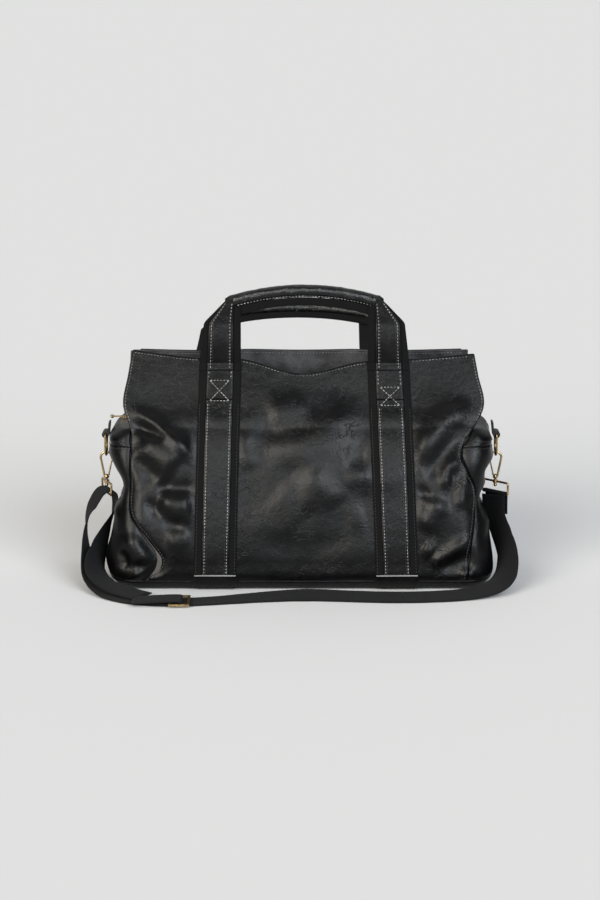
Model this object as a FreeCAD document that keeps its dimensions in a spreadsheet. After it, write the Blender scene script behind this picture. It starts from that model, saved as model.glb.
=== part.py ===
import FreeCAD, Part
import math
import os

from FreeCAD import Placement, Rotation, Vector

# A soft leather diaper bag: two tall panels, two side gussets, a zipped top between the panels,
# two carry handles on webbing that runs down both panels, and a long webbing shoulder strap.
# X runs along the bag, -Y is its front, +Z is up, and the origin is on the floor under its middle.

SIZES = {
    # leather, lining and board
    "leather_thickness": 2.0,
    "lining_gap": 0.4,
    "lining_thickness": 1.2,
    "base_seam_height": 12,
    "side_seam_x": 201,
    "yoke_seam_height": 170,
    "yoke_inner_x": 186,
    "board_length": 404,
    "board_depth": 150,
    "board_thickness": 3,
    "board_corner": 12,
    "board_bottom": 2.2,
    # upper panels above the zip
    "wing_lean": 0.47,
    "wing_top": 285,
    "wing_foot_x": 205,
    "wing_wide_x": 217,
    "wing_wide_height": 214,
    "facing_gap": 0.2,
    "facing_thickness": 1.2,
    "facing_bottom": 240,
    "facing_drop": 1.5,
    # pocket on the rear lining
    "pocket_length": 220,
    "pocket_height": 84,
    "pocket_depth": 9,
    "pocket_wall": 1.2,
    "pocket_bottom": 62,
    "pocket_tilt": 16,
    # zip
    "flap_length": 368,
    "flap_width": 53.6,
    "flap_thickness": 1.6,
    "flap_edge_y": 64.5,
    "flap_bottom": 188.2,
    "chain_width": 10.6,
    "chain_thickness": 2.2,
    "chain_gap": 0.3,
    "chain_end_length": 24,
    "chain_end_thickness": 0.6,
    "slider_length": 14,
    "slider_width": 9,
    "slider_thickness": 3.4,
    "slider_bottom": 191.1,
    "slider_rest_x": 206,
    "slider_round": 1.2,
    "pull_length": 13,
    "pull_width": 3.4,
    "pull_thickness": 1.4,
    "pull_pivot_x": 215.2,
    "pull_pivot_height": 193,
    "pull_eye_radius": 1.6,
    "pull_knob_radius": 2.3,
    # webbing sewn to the panels
    "webbing_width": 50,
    "webbing_thickness": 1.7,
    "layer_gap": 0.3,
    "strip_width": 32,
    "strip_thickness": 1.4,
    "webbing_foot": 5,
    "patch_top": 20,
    "box_bottom": 221,
    "webbing_top": 262,
    "stitched_end_top": 257,
    "inner_strap_x": 96,
    "outer_strap_x": 104,
    "inner_strap_splay": 6,
    "outer_strap_splay": 10,
    # handles, measured from the fold where they leave the panels
    "handle_fold_height": 264,
    "handle_fold_stand": 5,
    "handle_start": 1.6,
    "handle_leather_start": 4,
    "handle_knee": 47,
    "handle_hand_height": 72,
    "grip_radius": 7.5,
    "grip_wall": 2.4,
    "core_clearance": 0.2,
    "grip_end_x": 88,
    "grip_rise": 11.5,
    "rear_handle_lean": 59,
    # side tabs and metal fittings
    "fitting_x": 236,
    "tab_width": 20,
    "tab_radius": 4.4,
    "tab_bore": 2.0,
    "tab_plate": 2,
    "tab_plate_height": 15,
    "tab_plate_lean": 6,
    "d_ring_bar_height": 172,
    "d_ring_wire": 1.5,
    "d_ring_half_width": 12.5,
    "d_ring_drop": 26,
    "hook_wire": 1.3,
    "hook_eye_radius": 7,
    "hook_top": 149.1,
    "hook_base": 119,
    "hook_base_radius": 3.1,
    "hook_neck_half": 2.4,
    "gate_wire": 0.9,
    "pin_radius": 1.1,
    "pin_bore": 1.5,
    "boss_radius": 3.0,
    "boss_height": 4.0,
    "pin_knob_radius": 2.2,
    "ring_top": 113.2,
    "ring_half_length": 21.5,
    "ring_half_drop": 7,
    "ring_wire": 1.3,
    "ring_corner": 1.8,
    "left_ring_turn": -71,
    "right_ring_turn": -49,
    # shoulder strap
    "strap_width": 38,
    "strap_thickness": 1.6,
    "fold_clearance": 0.35,
    "fold_tail": 25,
    "slider_frame_x": -141,
    "slider_frame_y": -161,
    "slider_frame_bottom": 2.1,
    "slider_frame_length": 24,
    "slider_frame_width": 46,
    "slider_frame_height": 2.6,
    "slider_frame_rail": 3,
    "slider_slot_width": 40,
    "wrap_tail": 44,
    "wrap_thickness": 1.5,
}

# Heights of the bag body's cross-sections: height, half length, half depth, corner radius.
LEVELS = {
    "sole": (0, 216, 88, 30),
    "foot": (10, 226, 98, 34),
    "belly": (35, 231, 102, 36),
    "flank": (72, 223, 99, 34),
    "waist": (115, 215, 91, 30),
    "shoulder": (162, 228, 79, 26),
    "brow": (180, 226, 72, 22),
    "rim": (190, 214, 67, 18),
}
LEVEL_FIELDS = ("height", "half_length", "half_depth", "corner")

# The upper edge of each panel from left to right, as (x, height) points.
FRONT_EDGE = [(-205, 279), (-128, 270), (-70, 268), (0, 252), (72, 265), (128, 268), (205, 274)]
REAR_EDGE = [(-205, 271), (-128, 269), (-70, 269), (0, 268), (72, 269), (128, 269), (205, 271)]

# The shoulder strap's route from the right ring to the left ring and back to its slider.
# Each entry is a point of the centreline and the way that the webbing's upper face looks there.
STRAP_ROUTE = [
    ((233.6, -2.6, 96.8), (-0.75, -0.66, 0.0)),
    ((233.8, -3.4, 83), (-0.77, -0.64, 0.0)),
    ((238.5, -16, 63), (-0.85, -0.45, 0.1)),
    ((246.0, -44, 44), (-0.90, -0.20, 0.35)),
    ((246.0, -78, 26), (-0.70, -0.25, 0.65)),
    ((235.0, -112, 10), (-0.25, -0.20, 0.95)),
    ((202, -136, 2.6), (0, 0, 1)),
    ((160, -148, 1.2), (0, 0, 1)),
    ((108, -152, 1.0), (0, 0, 1)),
    ((56, -146, 1.4), (0, 0, 1)),
    ((6, -140, 3.0), (0, -0.12, 1)),
    ((-46, -147, 1.4), (0, 0, 1)),
    ((-96, -156, 1.0), (0, 0, 1)),
    ((-146, -161, 1.0), (0, 0, 1)),
    ((-190, -153, 1.0), (0, 0, 1)),
    ((-222, -126, 2.0), (0, 0, 1)),
    ((-243, -90, 6.5), (0.30, 0.10, 0.95)),
    ((-254, -55, 23), (0.75, 0.10, 0.60)),
    ((-260, -26, 48), (0.95, 0.10, 0.25)),
    ((-259, -8, 74), (0.96, 0.28, 0.0)),
    ((-249.5, -4.5, 93), (0.86, 0.30, -0.40)),
    ((-242, -2.1, 103.6), (0.50, 0.17, -0.85)),
    ((-230.5, 1.9, 103.6), (-0.50, -0.17, -0.85)),
    ((-225.5, 3.4, 94), (-0.90, -0.31, -0.30)),
    ((-227.5, -4, 73), (-0.97, -0.25, 0.0)),
    ((-236.5, -28, 51), (-0.93, -0.25, -0.25)),
    ((-244.5, -60, 32), (-0.80, -0.30, -0.50)),
    ((-242, -95, 17), (-0.30, -0.20, -0.93)),
    ((-218, -123, 7.0), (0, 0, -1)),
    ((-184, -141, 3.8), (0, 0, -1)),
]

doc = FreeCAD.newDocument("diaper_bag")
sheet = doc.addObject("Spreadsheet::Sheet", "Sizes")


def fill_sheet():
    """Write every driving dimension into the spreadsheet under its own name."""
    rows = dict(SIZES)
    for level, values in LEVELS.items():
        for field, value in zip(LEVEL_FIELDS, values):
            rows[f"{level}_{field}"] = value
    for row, (alias, value) in enumerate(rows.items(), start=1):
        sheet.set(f"A{row}", alias)
        sheet.set(f"B{row}", str(value))
        sheet.setAlias(f"B{row}", alias)
    doc.recompute()


def size(alias):
    """One driving dimension, read from the spreadsheet."""
    return float(getattr(sheet, alias))


def level(name):
    """Height, half length, half depth and corner radius of one cross-section."""
    return tuple(size(f"{name}_{field}") for field in LEVEL_FIELDS)


def bind(obj, prop, expression):
    """Tie a property to the spreadsheet, with dimension names written as plain words."""
    for alias in sorted(SIZES, key=len, reverse=True):
        expression = expression.replace(f"[{alias}]", f"Sizes.{alias}")
    obj.setExpression(prop, expression)


nodes = []


def keep(obj, label):
    """Name an object as one sub-part of the bag."""
    obj.Label = label
    nodes.append(obj)
    return obj


def keep_shape(shape, label, placement=None):
    """Make a sub-part from a shape built with Part's functions."""
    obj = doc.addObject("Part::Feature", label)
    obj.Shape = shape
    if placement is not None:
        obj.Placement = placement
    return keep(obj, label)


# ---------------------------------------------------------------- sketches and pads

def origin_plane(body, role):
    """The body's own origin plane of that role."""
    for feature in body.Origin.OriginFeatures:
        if feature.Role == role:
            return feature
    raise ValueError(role)


def add_rectangle(sketch, length, width):
    """A centred rectangle whose two sizes follow expressions; returns its first line's index."""
    import Sketcher
    half = 5.0
    corners = [(-half, -half), (half, -half), (half, half), (-half, half)]
    first = sketch.GeometryCount
    for start, end in zip(corners, corners[1:] + corners[:1]):
        sketch.addGeometry(Part.LineSegment(Vector(*start, 0), Vector(*end, 0)), False)
    for side in range(4):
        following = first + (side + 1) % 4
        sketch.addConstraint(Sketcher.Constraint("Coincident", first + side, 2, following, 1))
    sketch.addConstraint(Sketcher.Constraint("Horizontal", first))
    sketch.addConstraint(Sketcher.Constraint("Horizontal", first + 2))
    sketch.addConstraint(Sketcher.Constraint("Vertical", first + 1))
    sketch.addConstraint(Sketcher.Constraint("Vertical", first + 3))
    sketch.addConstraint(Sketcher.Constraint("Symmetric", first, 1, first + 2, 1, -1, 1))
    across = sketch.addConstraint(Sketcher.Constraint("DistanceX", first, 1, first, 2, 2 * half))
    along = sketch.addConstraint(Sketcher.Constraint("DistanceY", first + 1, 1, first + 1, 2, 2 * half))
    bind(sketch, f"Constraints[{across}]", length)
    bind(sketch, f"Constraints[{along}]", width)
    return first


def pad_body(label, length, width, height):
    """A PartDesign body: a rectangle on the XY plane, padded upwards."""
    body = doc.addObject("PartDesign::Body", label)
    sketch = body.newObject("Sketcher::SketchObject", f"{label}_sketch")
    sketch.AttachmentSupport = [(origin_plane(body, "XY_Plane"), "")]
    sketch.MapMode = "FlatFace"
    add_rectangle(sketch, length, width)
    pad = body.newObject("PartDesign::Pad", f"{label}_pad")
    pad.Profile = sketch
    bind(pad, "Length", height)
    doc.recompute()
    return body, pad


def round_edges(body, base, label, edges, radius):
    """Fillet the named edges of a body's feature."""
    fillet = body.newObject("PartDesign::Fillet", f"{label}_fillet")
    fillet.Base = (base, edges)
    bind(fillet, "Radius", radius)
    body.Tip = fillet
    doc.recompute()
    return fillet


def upright_edges(shape):
    """Names of the edges that run along Z."""
    names = []
    for number, edge in enumerate(shape.Edges, start=1):
        box = edge.BoundBox
        if box.ZLength > 0.1 and box.XLength < 0.01 and box.YLength < 0.01:
            names.append(f"Edge{number}")
    return names


# ---------------------------------------------------------------- plain shape helpers

def box_between(low, high):
    """A box from its lowest to its highest corner."""
    span = Vector(*high) - Vector(*low)
    return Part.makeBox(span.x, span.y, span.z, Vector(*low))


def prism(points, direction):
    """A flat outline of straight sides, pushed along a direction."""
    corners = [Vector(*point) for point in points]
    return Part.Face(Part.makePolygon(corners + corners[:1])).extrude(Vector(*direction))


def rounded_rectangle(half_length, half_depth, corner, height):
    """A closed outline with straight sides and round corners, at one height."""
    inner_x = half_length - corner
    inner_y = half_depth - corner
    centres = [(inner_x, inner_y, 0), (-inner_x, inner_y, 90), (-inner_x, -inner_y, 180), (inner_x, -inner_y, 270)]
    arcs = []
    for x, y, start in centres:
        circle = Part.Circle(Vector(x, y, height), Vector(0, 0, 1), corner)
        arcs.append(Part.Arc(circle, math.radians(start), math.radians(start + 90)).toShape())
    edges = []
    for number, arc in enumerate(arcs):
        following = arcs[(number + 1) % 4]
        edges.append(arc)
        edges.append(Part.makeLine(arc.Vertexes[-1].Point, following.Vertexes[0].Point))
    return Part.Wire(edges)


def bag_loft(inset, floor, top_extra=0.0):
    """The bag's body as one smooth solid, set in from its outside by a distance."""
    wires = []
    for name in LEVELS:
        height, half_length, half_depth, corner = level(name)
        if name == "sole":
            height = floor
        wires.append(rounded_rectangle(half_length - inset, half_depth - inset, corner - inset, height))
    if top_extra:
        height, half_length, half_depth, corner = level("rim")
        raised = rounded_rectangle(half_length - inset, half_depth - inset, corner - inset, height)
        collar = Part.Face(raised).extrude(Vector(0, 0, top_extra))
        return Part.makeLoft(wires, True, False).fuse(collar)
    return Part.makeLoft(wires, True, False)


def wire_path(points, bend, closed=False):
    """Straight runs joined by tangent arcs of one radius."""
    corners = [Vector(*point) for point in points]
    count = len(corners)
    cuts = {}
    turning = range(count) if closed else range(1, count - 1)
    for number in turning:
        before = (corners[number - 1] - corners[number]).normalize()
        after = (corners[(number + 1) % count] - corners[number]).normalize()
        half = before.getAngle(after) / 2
        reach = bend / math.tan(half)
        middle = (before + after).normalize() * (bend / math.sin(half) - bend)
        corner = corners[number]
        cuts[number] = (corner + before * reach, corner + middle, corner + after * reach)
    edges = []
    runs = range(count) if closed else range(count - 1)
    for number in runs:
        following = (number + 1) % count
        start = cuts[number][2] if number in cuts else corners[number]
        end = cuts[following][0] if following in cuts else corners[following]
        edges.append(Part.makeLine(start, end))
        if following in cuts:
            edges.append(Part.Arc(*cuts[following]).toShape())
    return edges


def round_wire(edges, radius):
    """A round wire along a chain of edges: one swept piece per edge, joined into one solid."""
    solids = []
    for edge in edges:
        start = edge.valueAt(edge.FirstParameter)
        tangent = edge.tangentAt(edge.FirstParameter)
        profile = Part.Wire(Part.makeCircle(radius, start, tangent))
        solids.append(Part.Wire(edge).makePipeShell([profile], True, True))
    return solids[0].multiFuse(solids[1:]).removeSplitter()


# ---------------------------------------------------------------- bag body

def outside_y(bag, height):
    """How far the panel's outer face stands from the bag's middle plane at a height."""
    rim_height, _, rim_depth, _ = level("rim")
    if height >= rim_height:
        return rim_depth - size("wing_lean") * (height - rim_height)
    line = Part.makeLine(Vector(0, -300, height), Vector(0, 0, height))
    return -bag.common(line).BoundBox.YMin


def wing_sheet(side, gap_in, thickness):
    """The flat upper part of a panel, leaning inwards from the rim, as an untrimmed sheet."""
    rim_height, _, rim_depth, _ = level("rim")
    rise = size("wing_top") - rim_height
    shift = size("wing_lean") * rise
    reach = size("wing_wide_x") + 5
    outer = rim_depth - gap_in
    inner = outer - thickness
    corners = [(outer, rim_height), (inner, rim_height), (inner - shift, rim_height + rise),
               (outer - shift, rim_height + rise)]
    points = [(-reach, side * y, z) for y, z in corners]
    return prism(points, (2 * reach, 0, 0))


def wing_outline(edge_points, drop=0.0):
    """The upper panel's outline seen from the front, pushed through the bag's depth."""
    rim_height = level("rim")[0]
    deep = 100
    top = [Vector(x, -deep, z - drop) for x, z in edge_points]
    curve = Part.BSplineCurve()
    curve.interpolate(top)
    foot = size("wing_foot_x")
    wide = size("wing_wide_x")
    wide_height = size("wing_wide_height")
    chain = [top[-1], Vector(wide, -deep, wide_height), Vector(foot, -deep, rim_height),
             Vector(-foot, -deep, rim_height), Vector(-wide, -deep, wide_height), top[0]]
    edges = [curve.toShape()]
    for start, end in zip(chain, chain[1:]):
        edges.append(Part.makeLine(start, end))
    return Part.Face(Part.Wire(edges)).extrude(Vector(0, 2 * deep, 0))


def make_panels(bag, hollow):
    """Front and rear panels, gussets, zip yokes and base: the leather body, cut along its seams."""
    wall = bag.cut(hollow)
    reach = 400
    seam = size("side_seam_x")
    base_top = size("base_seam_height")
    yoke_seam = size("yoke_seam_height")
    rim_height = level("rim")[0]
    leather = size("leather_thickness")
    keep_shape(wall.common(box_between((-reach, -reach, -1), (reach, reach, base_top))), "base_panel")
    for side, label, edge in ((-1, "front_panel", FRONT_EDGE), (1, "rear_panel", REAR_EDGE)):
        low_y, high_y = sorted((0, side * reach))
        lower = wall.common(box_between((-seam, low_y, base_top), (seam, high_y, rim_height)))
        upper = wing_sheet(side, 0, leather).common(wing_outline(edge))
        keep_shape(lower.fuse(upper).removeSplitter(), label)
    for side, name in ((-1, "left"), (1, "right")):
        low_x, high_x = sorted((side * seam, side * reach))
        keep_shape(wall.common(box_between((low_x, -reach, base_top), (high_x, reach, yoke_seam))),
                   f"{name}_gusset")
        shoulder = wall.common(box_between((low_x, -reach, yoke_seam), (high_x, reach, rim_height)))
        inner_x, outer_x = sorted((side * size("yoke_inner_x"), side * reach))
        lid = box_between((inner_x, -reach, rim_height - leather), (outer_x, reach, rim_height))
        keep_shape(shoulder.fuse(hollow.common(lid)).removeSplitter(), f"{name}_zip_yoke")


def make_facings():
    """Narrow leather bands sewn inside the upper edge of each panel."""
    leather = size("leather_thickness")
    floor = box_between((-400, -200, size("facing_bottom")), (400, 200, 400))
    for side, label, edge in ((-1, "front_top_facing", FRONT_EDGE), (1, "rear_top_facing", REAR_EDGE)):
        sheet_solid = wing_sheet(side, leather + size("facing_gap"), size("facing_thickness"))
        outline = wing_outline(edge, size("facing_drop")).common(floor)
        keep_shape(sheet_solid.common(outline), label)


def make_lining():
    """Fabric lining that stands just inside the leather and is open under the zip."""
    outer_inset = size("leather_thickness") + size("lining_gap")
    inner_inset = outer_inset + size("lining_thickness")
    floor = size("board_bottom") + size("board_thickness") + size("lining_gap")
    rim_height = level("rim")[0]
    sole = size("leather_thickness")
    top = rim_height - 3 * size("leather_thickness")
    slab = box_between((-400, -400, floor), (400, 400, top))
    room = box_between((-400, -400, floor + size("lining_thickness")), (400, 400, top + 1))
    outer = bag_loft(outer_inset, sole).common(slab)
    inner = bag_loft(inner_inset, sole, 5).common(room)
    keep_shape(outer.cut(inner), "lining")


def make_base_board():
    """Stiff board between the leather base and the lining."""
    body, pad = pad_body("base_board", "[board_length]", "[board_depth]", "[board_thickness]")
    round_edges(body, pad, "base_board", upright_edges(pad.Shape), "[board_corner]")
    body.Placement = Placement(Vector(0, 0, size("board_bottom")), Rotation())
    keep(body, "base_board")


def make_pocket(bag):
    """Open-topped slip pocket that leans with the rear lining."""
    length = size("pocket_length")
    depth = size("pocket_depth")
    height = size("pocket_height")
    wall = size("pocket_wall")
    outer = doc.addObject("Part::Box", "pocket_block")
    bind(outer, "Length", "[pocket_length]")
    bind(outer, "Width", "[pocket_depth]")
    bind(outer, "Height", "[pocket_height]")
    room = doc.addObject("Part::Box", "pocket_room")
    bind(room, "Length", "[pocket_length] - 2 * [pocket_wall]")
    bind(room, "Width", "[pocket_depth] - 2 * [pocket_wall]")
    bind(room, "Height", "[pocket_height]")
    room.Placement = Placement(Vector(wall, wall, wall), Rotation())
    pocket = doc.addObject("Part::Cut", "inner_pocket")
    pocket.Base = outer
    pocket.Tool = room
    top = size("pocket_bottom") + height
    skin = size("leather_thickness") + size("lining_gap") + size("lining_thickness")
    rear = min(outside_y(bag, z) + math.tan(math.radians(size("pocket_tilt"))) * (z - size("pocket_bottom"))
               for z in (size("pocket_bottom"), (size("pocket_bottom") + top) / 2, top))
    start = Vector(-length / 2, rear - skin - depth / math.cos(math.radians(size("pocket_tilt"))) - 1.5,
                   size("pocket_bottom"))
    pocket.Placement = Placement(start, Rotation(Vector(1, 0, 0), size("pocket_tilt")))
    doc.recompute()
    keep(pocket, "inner_pocket")


# ---------------------------------------------------------------- zip

def make_zip():
    """Two flaps that carry the halves of the zip chain, and the slider with its pull."""
    flap_middle = size("flap_edge_y") - size("flap_width") / 2
    chain_middle = size("chain_gap") + size("chain_width") / 2
    for side, name in ((-1, "front"), (1, "rear")):
        flap, _ = pad_body(f"{name}_zip_flap", "[flap_length]", "[flap_width]", "[flap_thickness]")
        flap.Placement = Placement(Vector(0, side * flap_middle, size("flap_bottom")), Rotation())
        keep(flap, f"{name}_zip_flap")
        chain, _ = pad_body(f"{name}_zip_chain", "[flap_length]", "[chain_width]", "[chain_thickness]")
        lift = size("flap_bottom") + (size("flap_thickness") - size("chain_thickness")) / 2
        chain.Placement = Placement(Vector(0, side * chain_middle, lift), Rotation())
        keep(chain, f"{name}_zip_chain")
    rim_height = level("rim")[0]
    start = size("yoke_inner_x") + 1
    end = start + size("chain_end_length")
    half = size("chain_width") / 2
    top = rim_height + size("chain_end_thickness")
    ends = [box_between((side * start if side > 0 else -end, -half, rim_height),
                        (end if side > 0 else -start, half, top)) for side in (-1, 1)]
    keep_shape(Part.makeCompound(ends), "zip_chain_ends")
    slider, pad = pad_body("zip_slider", "[slider_length]", "[slider_width]", "[slider_thickness]")
    round_edges(slider, pad, "zip_slider", upright_edges(pad.Shape), "[slider_round]")
    slider.Placement = Placement(Vector(-size("slider_rest_x"), 0, size("slider_bottom")), Rotation())
    keep(slider, "zip_slider")
    make_pull()


def make_pull():
    """The slider's pull: an eye on the hinge line, a flat bar and a round knob."""
    eye = doc.addObject("Part::Cylinder", "pull_eye")
    bind(eye, "Radius", "[pull_eye_radius]")
    bind(eye, "Height", "[pull_width]")
    eye.Placement = Placement(Vector(0, size("pull_width") / 2, 0), Rotation(Vector(1, 0, 0), 90))
    bar = doc.addObject("Part::Box", "pull_bar")
    bind(bar, "Length", "[pull_length]")
    bind(bar, "Width", "[pull_width]")
    bind(bar, "Height", "[pull_thickness]")
    bar.Placement = Placement(Vector(-size("pull_length"), -size("pull_width") / 2, -size("pull_thickness") / 2),
                              Rotation())
    knob = doc.addObject("Part::Sphere", "pull_knob")
    bind(knob, "Radius", "[pull_knob_radius]")
    knob.Placement = Placement(Vector(-size("pull_length"), 0, 0), Rotation())
    pull = doc.addObject("Part::MultiFuse", "zip_pull")
    pull.Shapes = [eye, bar, knob]
    pull.Placement = Placement(Vector(-size("pull_pivot_x"), 0, size("pull_pivot_height")), Rotation())
    doc.recompute()
    keep(pull, "zip_pull")


# ---------------------------------------------------------------- webbing sewn to the panels

def panel_layer(bag, side, bottom, top, near, far):
    """A thin layer that follows a panel's outer face, between two distances from that face."""
    steps = 16
    heights = [bottom + (top - bottom) * step / steps for step in range(steps + 1)]
    face_line = [(outside_y(bag, z), z) for z in heights]

    def shifted(distance):
        points = []
        for number, (y, z) in enumerate(face_line):
            y0, z0 = face_line[max(number - 1, 0)]
            y1, z1 = face_line[min(number + 1, steps)]
            span = math.hypot(y1 - y0, z1 - z0)
            normal_y = (z1 - z0) / span
            normal_z = -(y1 - y0) / span
            points.append(Vector(-200, side * (y + distance * normal_y), z + distance * normal_z))
        return points

    inner = shifted(near)
    outer = shifted(far)
    inner_curve = Part.BSplineCurve()
    inner_curve.interpolate(inner)
    outer_curve = Part.BSplineCurve()
    outer_curve.interpolate(outer)
    edges = [inner_curve.toShape(), Part.makeLine(inner[-1], outer[-1]), outer_curve.toShape(),
             Part.makeLine(outer[0], inner[0])]
    return Part.Face(Part.Wire(Part.__sortEdges__(edges))).extrude(Vector(400, 0, 0))


def slanted_slot(centre_x, splay, width, bottom, top):
    """A band seen from the front that spreads outwards as it goes down."""
    full = size("webbing_top") - size("webbing_foot")
    away = math.copysign(1, centre_x)

    def centre(height):
        return centre_x + away * splay * (size("webbing_top") - height) / full

    low = centre(bottom - 10)
    high = centre(top + 10)
    points = [(low - width / 2, -200, bottom - 10), (low + width / 2, -200, bottom - 10),
              (high + width / 2, -200, top + 10), (high - width / 2, -200, top + 10)]
    return prism(points, (0, 400, 0))


def make_sewn_straps(bag):
    """Webbing, leather strip, stitched end and base patch, twice on each panel."""
    webbing_far = size("layer_gap") + size("webbing_thickness")
    leather_near = webbing_far + size("layer_gap")
    leather_far = leather_near + size("strip_thickness")
    joint_gap = size("layer_gap")
    foot = size("webbing_foot")
    patch_top = size("patch_top")
    box_bottom = size("box_bottom")
    top = size("webbing_top")
    wide = size("webbing_width")
    strip = size("strip_width")
    end_top = size("stitched_end_top")
    layers = [("strap", foot, top, size("layer_gap"), webbing_far, wide),
              ("base_patch", foot, patch_top, leather_near, leather_far, wide + 1),
              ("strap_leather", patch_top + joint_gap, box_bottom - joint_gap, leather_near, leather_far, strip),
              ("stitched_end", box_bottom, end_top, leather_near, leather_far, strip)]
    inner = (size("inner_strap_x"), size("inner_strap_splay"))
    outer = (size("outer_strap_x"), size("outer_strap_splay"))
    places = [("front_left", -1, -inner[0], inner[1]), ("front_right", -1, outer[0], outer[1]),
              ("rear_left", 1, -outer[0], outer[1]), ("rear_right", 1, inner[0], inner[1])]
    for kind, bottom, upper, near, far, width in layers:
        sheets = {side: panel_layer(bag, side, bottom, upper, near, far) for side in (-1, 1)}
        for name, side, centre_x, splay in places:
            band = slanted_slot(centre_x, splay, width, bottom, upper)
            keep_shape(sheets[side].common(band), f"{name}_{kind}")


# ---------------------------------------------------------------- handles

def handle_placement(side):
    """The handle's local frame: its origin is on the fold axis, its Y points into the bag."""
    fold = size("handle_fold_height")
    rim_height, _, rim_depth, _ = level("rim")
    face = rim_depth - size("wing_lean") * (fold - rim_height)
    stand = face + size("handle_fold_stand")
    if side < 0:
        return Placement(Vector(0, -stand, fold), Rotation())
    lean = Rotation(Vector(1, 0, 0), -size("rear_handle_lean"))
    return Placement(Vector(0, stand, fold), lean.multiply(Rotation(Vector(0, 0, 1), 180)))


def flat_plate(points, low_y, high_y, arcs=()):
    """A plate in the XZ plane; a side named in arcs bulges through its own middle point."""
    corners = [Vector(x, low_y, z) for x, z in points]
    bulges = dict(arcs)
    edges = []
    for number, corner in enumerate(corners):
        following = corners[(number + 1) % len(corners)]
        if number in bulges:
            x, z = bulges[number]
            edges.append(Part.Arc(corner, Vector(x, low_y, z), following).toShape())
        else:
            edges.append(Part.makeLine(corner, following))
    return Part.Face(Part.Wire(edges)).extrude(Vector(0, high_y - low_y, 0))


def make_handle(name, side):
    """One carry handle: webbing bow, leather on its legs, rolled leather grip and rope core."""
    place = handle_placement(side)
    left = -size("inner_strap_x")
    right = size("outer_strap_x")
    half = size("webbing_width") / 2
    start = size("handle_start")
    knee = size("handle_knee")
    grip_x = size("grip_end_x")
    grip_height = size("handle_hand_height")
    rise = size("grip_rise")
    radius = size("grip_radius")
    middle = (left + right) / 2
    band_top = grip_height - radius - 0.8
    band_low = band_top - 7
    webbing = size("webbing_thickness")
    plane = size("handle_fold_stand") - size("layer_gap") - webbing
    outline = [(left - half, start), (left - half + 8, knee), (middle - grip_x, band_top),
               (middle + grip_x, band_top), (right + half - 8, knee), (right + half, start),
               (right - half, start), (right - half, band_low), (left + half, band_low), (left + half, start)]
    arcs = [(2, (middle, band_top + rise)), (7, (middle, band_low + rise))]
    keep_shape(flat_plate(outline, plane, plane + webbing, arcs), f"{name}_handle_webbing", place)
    near = plane - size("layer_gap")
    far = near - size("strip_thickness")
    strip = size("strip_width") / 2
    leather_start = size("handle_leather_start")
    legs = []
    for centre, away in ((left, -1), (right, 1)):
        leg = [(centre + away * strip, leather_start), (centre + away * (strip - 5), knee),
               (centre - away * 4, band_top - 4), (centre - away * strip, band_top - 4),
               (centre - away * strip, leather_start)]
        legs.append(flat_plate(leg, far, near))
    keep_shape(Part.makeCompound(legs), f"{name}_handle_leather", place)
    depth = plane + webbing / 2
    ends = (Vector(middle - grip_x, depth, grip_height), Vector(middle + grip_x, depth, grip_height))
    arc = Part.Arc(ends[0], Vector(middle, depth, grip_height + rise), ends[1]).toShape()
    tangent = arc.tangentAt(arc.FirstParameter)

    def rod(rod_radius):
        profile = Part.Wire(Part.makeCircle(rod_radius, ends[0], tangent))
        return Part.Wire(arc).makePipeShell([profile], True, True)

    inside = radius - size("grip_wall")
    keep_shape(rod(radius).cut(rod(inside)), f"{name}_handle_grip", place)
    keep_shape(rod(inside - size("core_clearance")), f"{name}_handle_core", place)


# ---------------------------------------------------------------- side fittings

def make_tab(name, side):
    """A leather loop on the zip yoke that holds the D-ring's straight bar."""
    x = side * size("fitting_x")
    bar_height = size("d_ring_bar_height")
    loop = doc.addObject("Part::Cylinder", f"{name}_tab_loop")
    bind(loop, "Radius", "[tab_radius]")
    bind(loop, "Height", "[tab_width]")
    lying = Rotation(Vector(1, 0, 0), 90)
    loop.Placement = Placement(Vector(0, size("tab_width") / 2, 0), lying)
    plate = doc.addObject("Part::Box", f"{name}_tab_plate")
    bind(plate, "Length", "[tab_plate]")
    bind(plate, "Width", "[tab_width]")
    bind(plate, "Height", "[tab_plate_height]")
    lean = Rotation(Vector(0, 1, 0), -side * size("tab_plate_lean"))
    corner_x = size("tab_radius") - size("tab_plate") if side < 0 else -size("tab_radius")
    plate.Placement = Placement(Vector(corner_x, -size("tab_width") / 2, 0), lean)
    bore = doc.addObject("Part::Cylinder", f"{name}_tab_bore")
    bind(bore, "Radius", "[tab_bore]")
    bind(bore, "Height", "[tab_width] + 4")
    bore.Placement = Placement(Vector(0, size("tab_width") / 2 + 2, 0), lying)
    solid = doc.addObject("Part::Fuse", f"{name}_tab_solid")
    solid.Base = loop
    solid.Tool = plate
    tab = doc.addObject("Part::Cut", f"{name}_tab")
    tab.Base = solid
    tab.Tool = bore
    tab.Placement = Placement(Vector(x, 0, bar_height), Rotation())
    doc.recompute()
    keep(tab, f"{name}_tab")


def make_d_ring(name, side):
    """A D-ring that hangs in the YZ plane from the tab: straight bar, two legs and a half round."""
    x = side * size("fitting_x")
    bar_height = size("d_ring_bar_height")
    half = size("d_ring_half_width")
    wire = size("d_ring_wire")
    leg_end = bar_height - size("d_ring_drop") + half
    low_arc = Part.Arc(Vector(x, -half, leg_end), Vector(x, 0, leg_end - half), Vector(x, half, leg_end))
    corners = [(x, half, leg_end), (x, half, bar_height), (x, -half, bar_height), (x, -half, leg_end)]
    path = [low_arc.toShape()] + wire_path(corners, 1.6 * wire)
    keep_shape(round_wire(path, wire), f"{name}_d_ring")


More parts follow.
